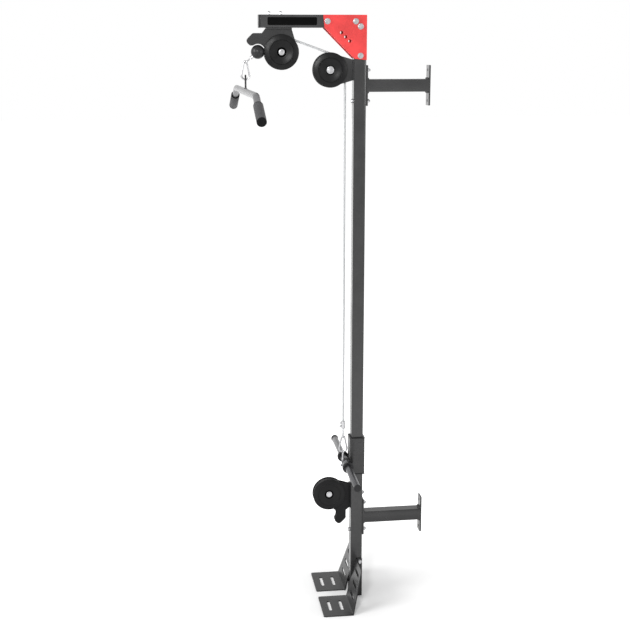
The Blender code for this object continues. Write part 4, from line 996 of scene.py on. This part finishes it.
def dress_carriage():
    """The plate bar, its strap lug, collars and end caps."""
    place = centre("horn_collar_right")
    spot = (0, place.y, place.z)
    bar_low, bar_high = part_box("weight_horn")
    half, bore = bar_high.x, HORN_R + FIT
    bar = turned("weight_horn_finish", [(0, -half), (HORN_R, -half, 0.0008),
                                        (HORN_R, half, 0.0008), (0, half)],
                 spot, X, HORN_METAL, 64)
    stand_for(bar, "weight_horn")
    width, _, collar_r = half_size("horn_collar_right")
    ring = [(bore, -width, BORE_FILLET), (collar_r, -width, COLLAR_FILLET),
            (collar_r, width, COLLAR_FILLET), (bore, width, BORE_FILLET)]
    for side, sign in SIDES:
        cap = f"horn_cap_{side}"
        far, outer = max(abs(level.x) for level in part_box(cap)), half_size(cap).z
        near, end = far - CAP_LENGTH, far - CAP_END
        profile = [(0, end), (bore, end), (bore, near, 0.0003), (outer, near, 0.0006),
                   (outer, far, 0.002), (0, far)]
        stand_for(turned(f"{cap}_finish", profile, spot, X * sign, BLACK_PLASTIC, 64), cap)
        collar = f"horn_collar_{side}"
        stand_for(turned(f"{collar}_finish", ring, centre(collar), X, BLACK_PLASTIC, 80,
                         steps=5), collar)
    dress_horn_lug(bar_low.z, bar_high.z, spot)


def dress_horn_lug(bottom, top, spot):
    """The zinc strap on the bar's front, holed for the hook and curled under the bar."""
    y = centre("cable_rear_drop").y
    half, corner = STRAP_HALF, STRAP_CORNER
    hole_z = joint_place("lower_gate_turn").z - STRAP_HOLE_DROP - LUG_HOLE_DROP
    outline = [(-half, bottom + corner), (-half + corner, bottom), (half - corner, bottom),
               (half, bottom + corner), *arc((0, top - half), half, 0, 180, 20)]
    strap = lug_plate("horn_lug_finish", outline, y, STRAP_THICK, hole_z, ZINC)
    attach(bevel(strap, STRAP_EDGE), "carriage")
    back = y - STRAP_THICK * CURL_DEPTH
    outline = [(back, bottom + CURL_LOW), (y, bottom + CURL_LOW), (y, bottom + CURL_HIGH),
               (back, bottom + CURL_HIGH)]
    curl = prism(outline, "X", -half * CURL_WIDTH, half * CURL_WIDTH)
    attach(bevel(finish_piece("horn_lug_curl", curl, ZINC), CURL_EDGE), "carriage")
    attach(turned("horn_lug_weld", HORN_BEAD, spot, X, BAR_WELD, 48), "carriage")


def lug_plate(name, outline, y, thick, hole_z, look):
    """A flat lug across Y with a round hole for a snap hook."""
    lug = finish_piece(name, prism(outline, "Y", y - thick / 2, y + thick / 2), look)
    builder = bmesh.new()
    place = Matrix.Translation((0, y, hole_z)) @ turn_to(Y).to_4x4()
    bmesh.ops.create_cone(builder, cap_ends=True, segments=40, radius1=LUG_HOLE_R,
                          radius2=LUG_HOLE_R, depth=0.02, matrix=place)
    lug.data = subtract(lug, mesh_object("cutter", builder))
    return lug


# Pull bar

BAR_R = 0.012
BAR_DROP = 0.043  # the bar's middle under the hook's link
BAR_TURN = 1  # degrees about the upright
BAR_STRAIGHT, BAR_BENT = 0.372, 0.1816
BAR_SLOPE, BEND_R = 23.5, 0.06
LUG_HALF, LUG_THICK, LUG_RISE = 0.011, 0.005, 0.017
LUG_FLARE, LUG_NECK, LUG_SINK = 0.0044, 0.009, 0.001
LUG_EDGE = 0.0006
BEAD_X, BEAD_Y, BEAD_R = 0.0165, 0.0042, 0.0017
BEAD_SINK, BEAD_CURVE = 0.0002, 0.00072

# Grips: radius, length, how far its end goes past the bar, its ring and its end
GRIP_R = 0.0165
GRIP_LENGTH = 0.118
GRIP_PAST = 0.004
GRIP_RING, GRIP_END = 0.004, 0.0105
GRIP_VENT_R = 0.005


def dress_pull_bar():
    """The bar with bent ends, turned a little about the upright as in the photograph."""
    hang = joint_place("pull_bar_rock")
    z = hang.z - BAR_DROP
    turn, slope = math.radians(BAR_TURN), math.radians(BAR_SLOPE)
    way = Vector((math.cos(turn), math.sin(turn), 0))
    run = BEND_R * math.tan(slope / 2)
    end = (BAR_STRAIGHT + BAR_BENT * math.cos(slope), z - BAR_BENT * math.sin(slope))
    half = [*arc((BAR_STRAIGHT - run, z - BEND_R), BEND_R, 90, 90 - BAR_SLOPE, 14), end]
    line = [(-a, b) for a, b in reversed(half)] + half
    points = [Y * hang.y + way * a + Z * b for a, b in line]
    stand_for(swept("pull_bar_finish", points, BAR_R, BAR_METAL, 48), "pull_bar")
    dress_bar_lug(hang, z + BAR_R)
    for side, sign in SIDES:
        tip = Y * hang.y + way * (sign * end[0]) + Z * end[1]
        dress_grip(side, tip, way * (sign * math.cos(slope)) - Z * math.sin(slope))


def dress_bar_lug(hang, foot):
    """A flat lug on the bar's middle, its foot flared and welded."""
    half, flare, neck = LUG_HALF, LUG_HALF + LUG_FLARE, foot + LUG_NECK
    outline = [(-flare, foot - LUG_SINK), (flare, foot - LUG_SINK), (half, neck),
               *arc((0, hang.z + LUG_RISE - half), half, 0, 180, 24), (-half, neck)]
    lug = lug_plate("pull_bar_lug", outline, hang.y, LUG_THICK, hang.z - LUG_HOLE_DROP,
                    LUG_METAL)
    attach(bevel(lug, LUG_EDGE), "bar")
    path = [(a * BEAD_X, hang.y + b * BEAD_Y, foot - BEAD_SINK - BEAD_CURVE * b ** 2)
            for a, b in circle(40)]
    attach(swept("pull_bar_lug_weld", path, BEAD_R, BAR_WELD, 12, closed=True), "bar")


def dress_grip(side, tip, way):
    """A diamond-patterned rubber grip with a rolled start ring and a domed end."""
    start, past = GRIP_PAST - GRIP_LENGTH, GRIP_PAST
    inner, ring_end, end_start = BAR_R + FIT, start + GRIP_RING, past - 0.0065
    sleeve = [(inner, ring_end), (GRIP_R - 0.0006, ring_end), (GRIP_R, ring_end + 0.0012),
              (GRIP_R, end_start - 0.001), (GRIP_R - 0.0006, end_start), (inner, end_start)]
    grip = turned(f"grip_{side}_finish", sleeve, tip, way, GRIP_RUBBER, 96)
    stand_for(grip, f"grip_{side}")
    ring = [(inner, start), (GRIP_R - 0.0015, start), (GRIP_R, start + 0.0015),
            (GRIP_R, ring_end - 0.0005), (GRIP_R - 0.0008, ring_end), (inner, ring_end)]
    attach(turned(f"grip_{side}_ring", ring, tip, way, RUBBER, 96, fillet=0.0004), "bar")
    vent = past - 0.0008
    end = [(inner, end_start), (GRIP_R - 0.0008, end_start, 0.0004),
           (GRIP_R, end_start + 0.0007, 0.0006), (GRIP_R, past - 0.002, 0.0012),
           (GRIP_R - 0.002, past, 0.0012), (GRIP_VENT_R + 0.001, past, 0.0004),
           (GRIP_VENT_R, vent, 0.0004), (0, vent)]
    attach(turned(f"grip_{side}_end", end, tip, way, RUBBER, 96), "bar")


# Studio

# The photograph's camera: place, the way it looks, and its lens in millimetres
CAMERA_PLACE = (4.2955, -0.7286, 2.1282)
CAMERA_LOOK = (-0.9664, 0.1279, -0.2233)
CAMERA_LENS = 67.857
CAMERA_FAR = 100

FLOOR_HALF = 30
FLOOR_LEVEL = -0.0005
FLOOR_GREY = (0.86, 0.86, 0.86, 1)
GLOW_NEAR, GLOW_FAR = 0.04, 0.68
GLOW_REACH = 1.3
WHITE = (1, 1, 1, 1)
WORLD_LIT, WORLD_SEEN = 0.5, 1.0
LAMPS = (
    # name, place, target, size, power
    ("key_left", (1.4, -4.0, 3.2), (0, 0, 1.2), 2.4, 140),
    ("sheen_by_camera", (4.3, -1.5, 3.2), (0, 0, 1.6), 0.6, 90),
    ("fill_wall_side", (3.4, 3.6, 2.4), (0, 0, 1.2), 2.2, 50),
    ("rim_behind", (-1.8, 2.6, 3.2), (0, 0, 1.4), 2.0, 40),
    ("strip_behind", (-4.5, -0.9, 1.2), (0, 0, 1.2), 2.2, 6.5),
)


def build_camera():
    data = bpy.data.cameras.new("photo_camera")
    data.lens = CAMERA_LENS
    data.clip_end = CAMERA_FAR
    camera = new_object("photo_camera", data)
    forward = Vector(CAMERA_LOOK).normalized()
    right = forward.cross(Z).normalized()
    turn = Matrix((right, right.cross(forward), -forward)).transposed()
    camera.matrix_world = Matrix.Translation(CAMERA_PLACE) @ turn.to_4x4()
    bpy.context.scene.camera = camera


def empty_tree(owner):
    owner.use_nodes = True
    owner.node_tree.nodes.clear()
    return owner.node_tree


def seen_by(tree, *kinds):
    """1 for rays of any of these kinds, else 0."""
    path = add_node(tree, "LightPath")
    found = path.outputs[f"Is {kinds[0]} Ray"]
    for kind in kinds[1:]:
        other = path.outputs[f"Is {kind} Ray"]
        found = add_node(tree, "Math", found, other, operation="MAXIMUM").outputs[0]
    return found


def build_floor():
    """A floor that keeps the object's shadow, and glows white to the camera and in gloss."""
    builder = bmesh.new()
    bmesh.ops.create_grid(builder, x_segments=1, y_segments=1, size=FLOOR_HALF)
    floor = mesh_object("studio_floor", builder)
    floor.location.z = FLOOR_LEVEL
    made = bpy.data.materials.new("studio_white")
    tree = empty_tree(made)
    near = texture(tree, "Gradient", stretch=(1 / GLOW_REACH, 1 / GLOW_REACH, 1),
                   gradient_type="SPHERICAL")
    level = add_node(tree, "MapRange", interpolation_type="SMOOTHSTEP", Value=near,
                     To_Min=GLOW_FAR, To_Max=GLOW_NEAR).outputs["Result"]
    power = add_node(tree, "Math", seen_by(tree, "Camera", "Glossy"), level,
                     operation="MULTIPLY")
    glow = add_node(tree, "Emission", Strength=power.outputs[0])
    diffuse = add_node(tree, "BsdfDiffuse", Color=FLOOR_GREY)
    total = add_node(tree, "AddShader", diffuse.outputs[0], glow.outputs[0])
    add_node(tree, "OutputMaterial", Surface=total.outputs[0])
    floor.data.materials.append(made)


def build_light():
    """A world that is white where it is seen, a weaker light from it, and the lamps."""
    scene = bpy.context.scene
    scene.world = bpy.data.worlds.new("studio")
    tree = empty_tree(scene.world)
    lit, seen = (add_node(tree, "Background", Color=WHITE, Strength=level).outputs[0]
                 for level in (WORLD_LIT, WORLD_SEEN))
    mix = add_node(tree, "MixShader", seen_by(tree, "Camera", "Glossy", "Transmission"), lit,
                   seen)
    add_node(tree, "OutputWorld", Surface=mix.outputs[0])
    for name, place, target, size, power in LAMPS:
        data = bpy.data.lights.new(name, "AREA")
        data.shape = "DISK"
        data.size = size
        data.energy = power
        lamp = new_object(name, data)
        lamp.location = place
        lamp.visible_camera = False
        lamp.rotation_mode = "QUATERNION"
        lamp.rotation_quaternion = (Vector(target) - Vector(place)).to_track_quat("-Z", "Y")
    scene.view_settings.view_transform = "Standard"


for step in (dress_frame, dress_welds, dress_label, dress_frame_bolts, dress_pulleys,
             dress_cables, dress_ball, dress_hooks, dress_clip_and_loop, dress_carriage,
             dress_pull_bar, build_camera, build_floor, build_light):
    step()
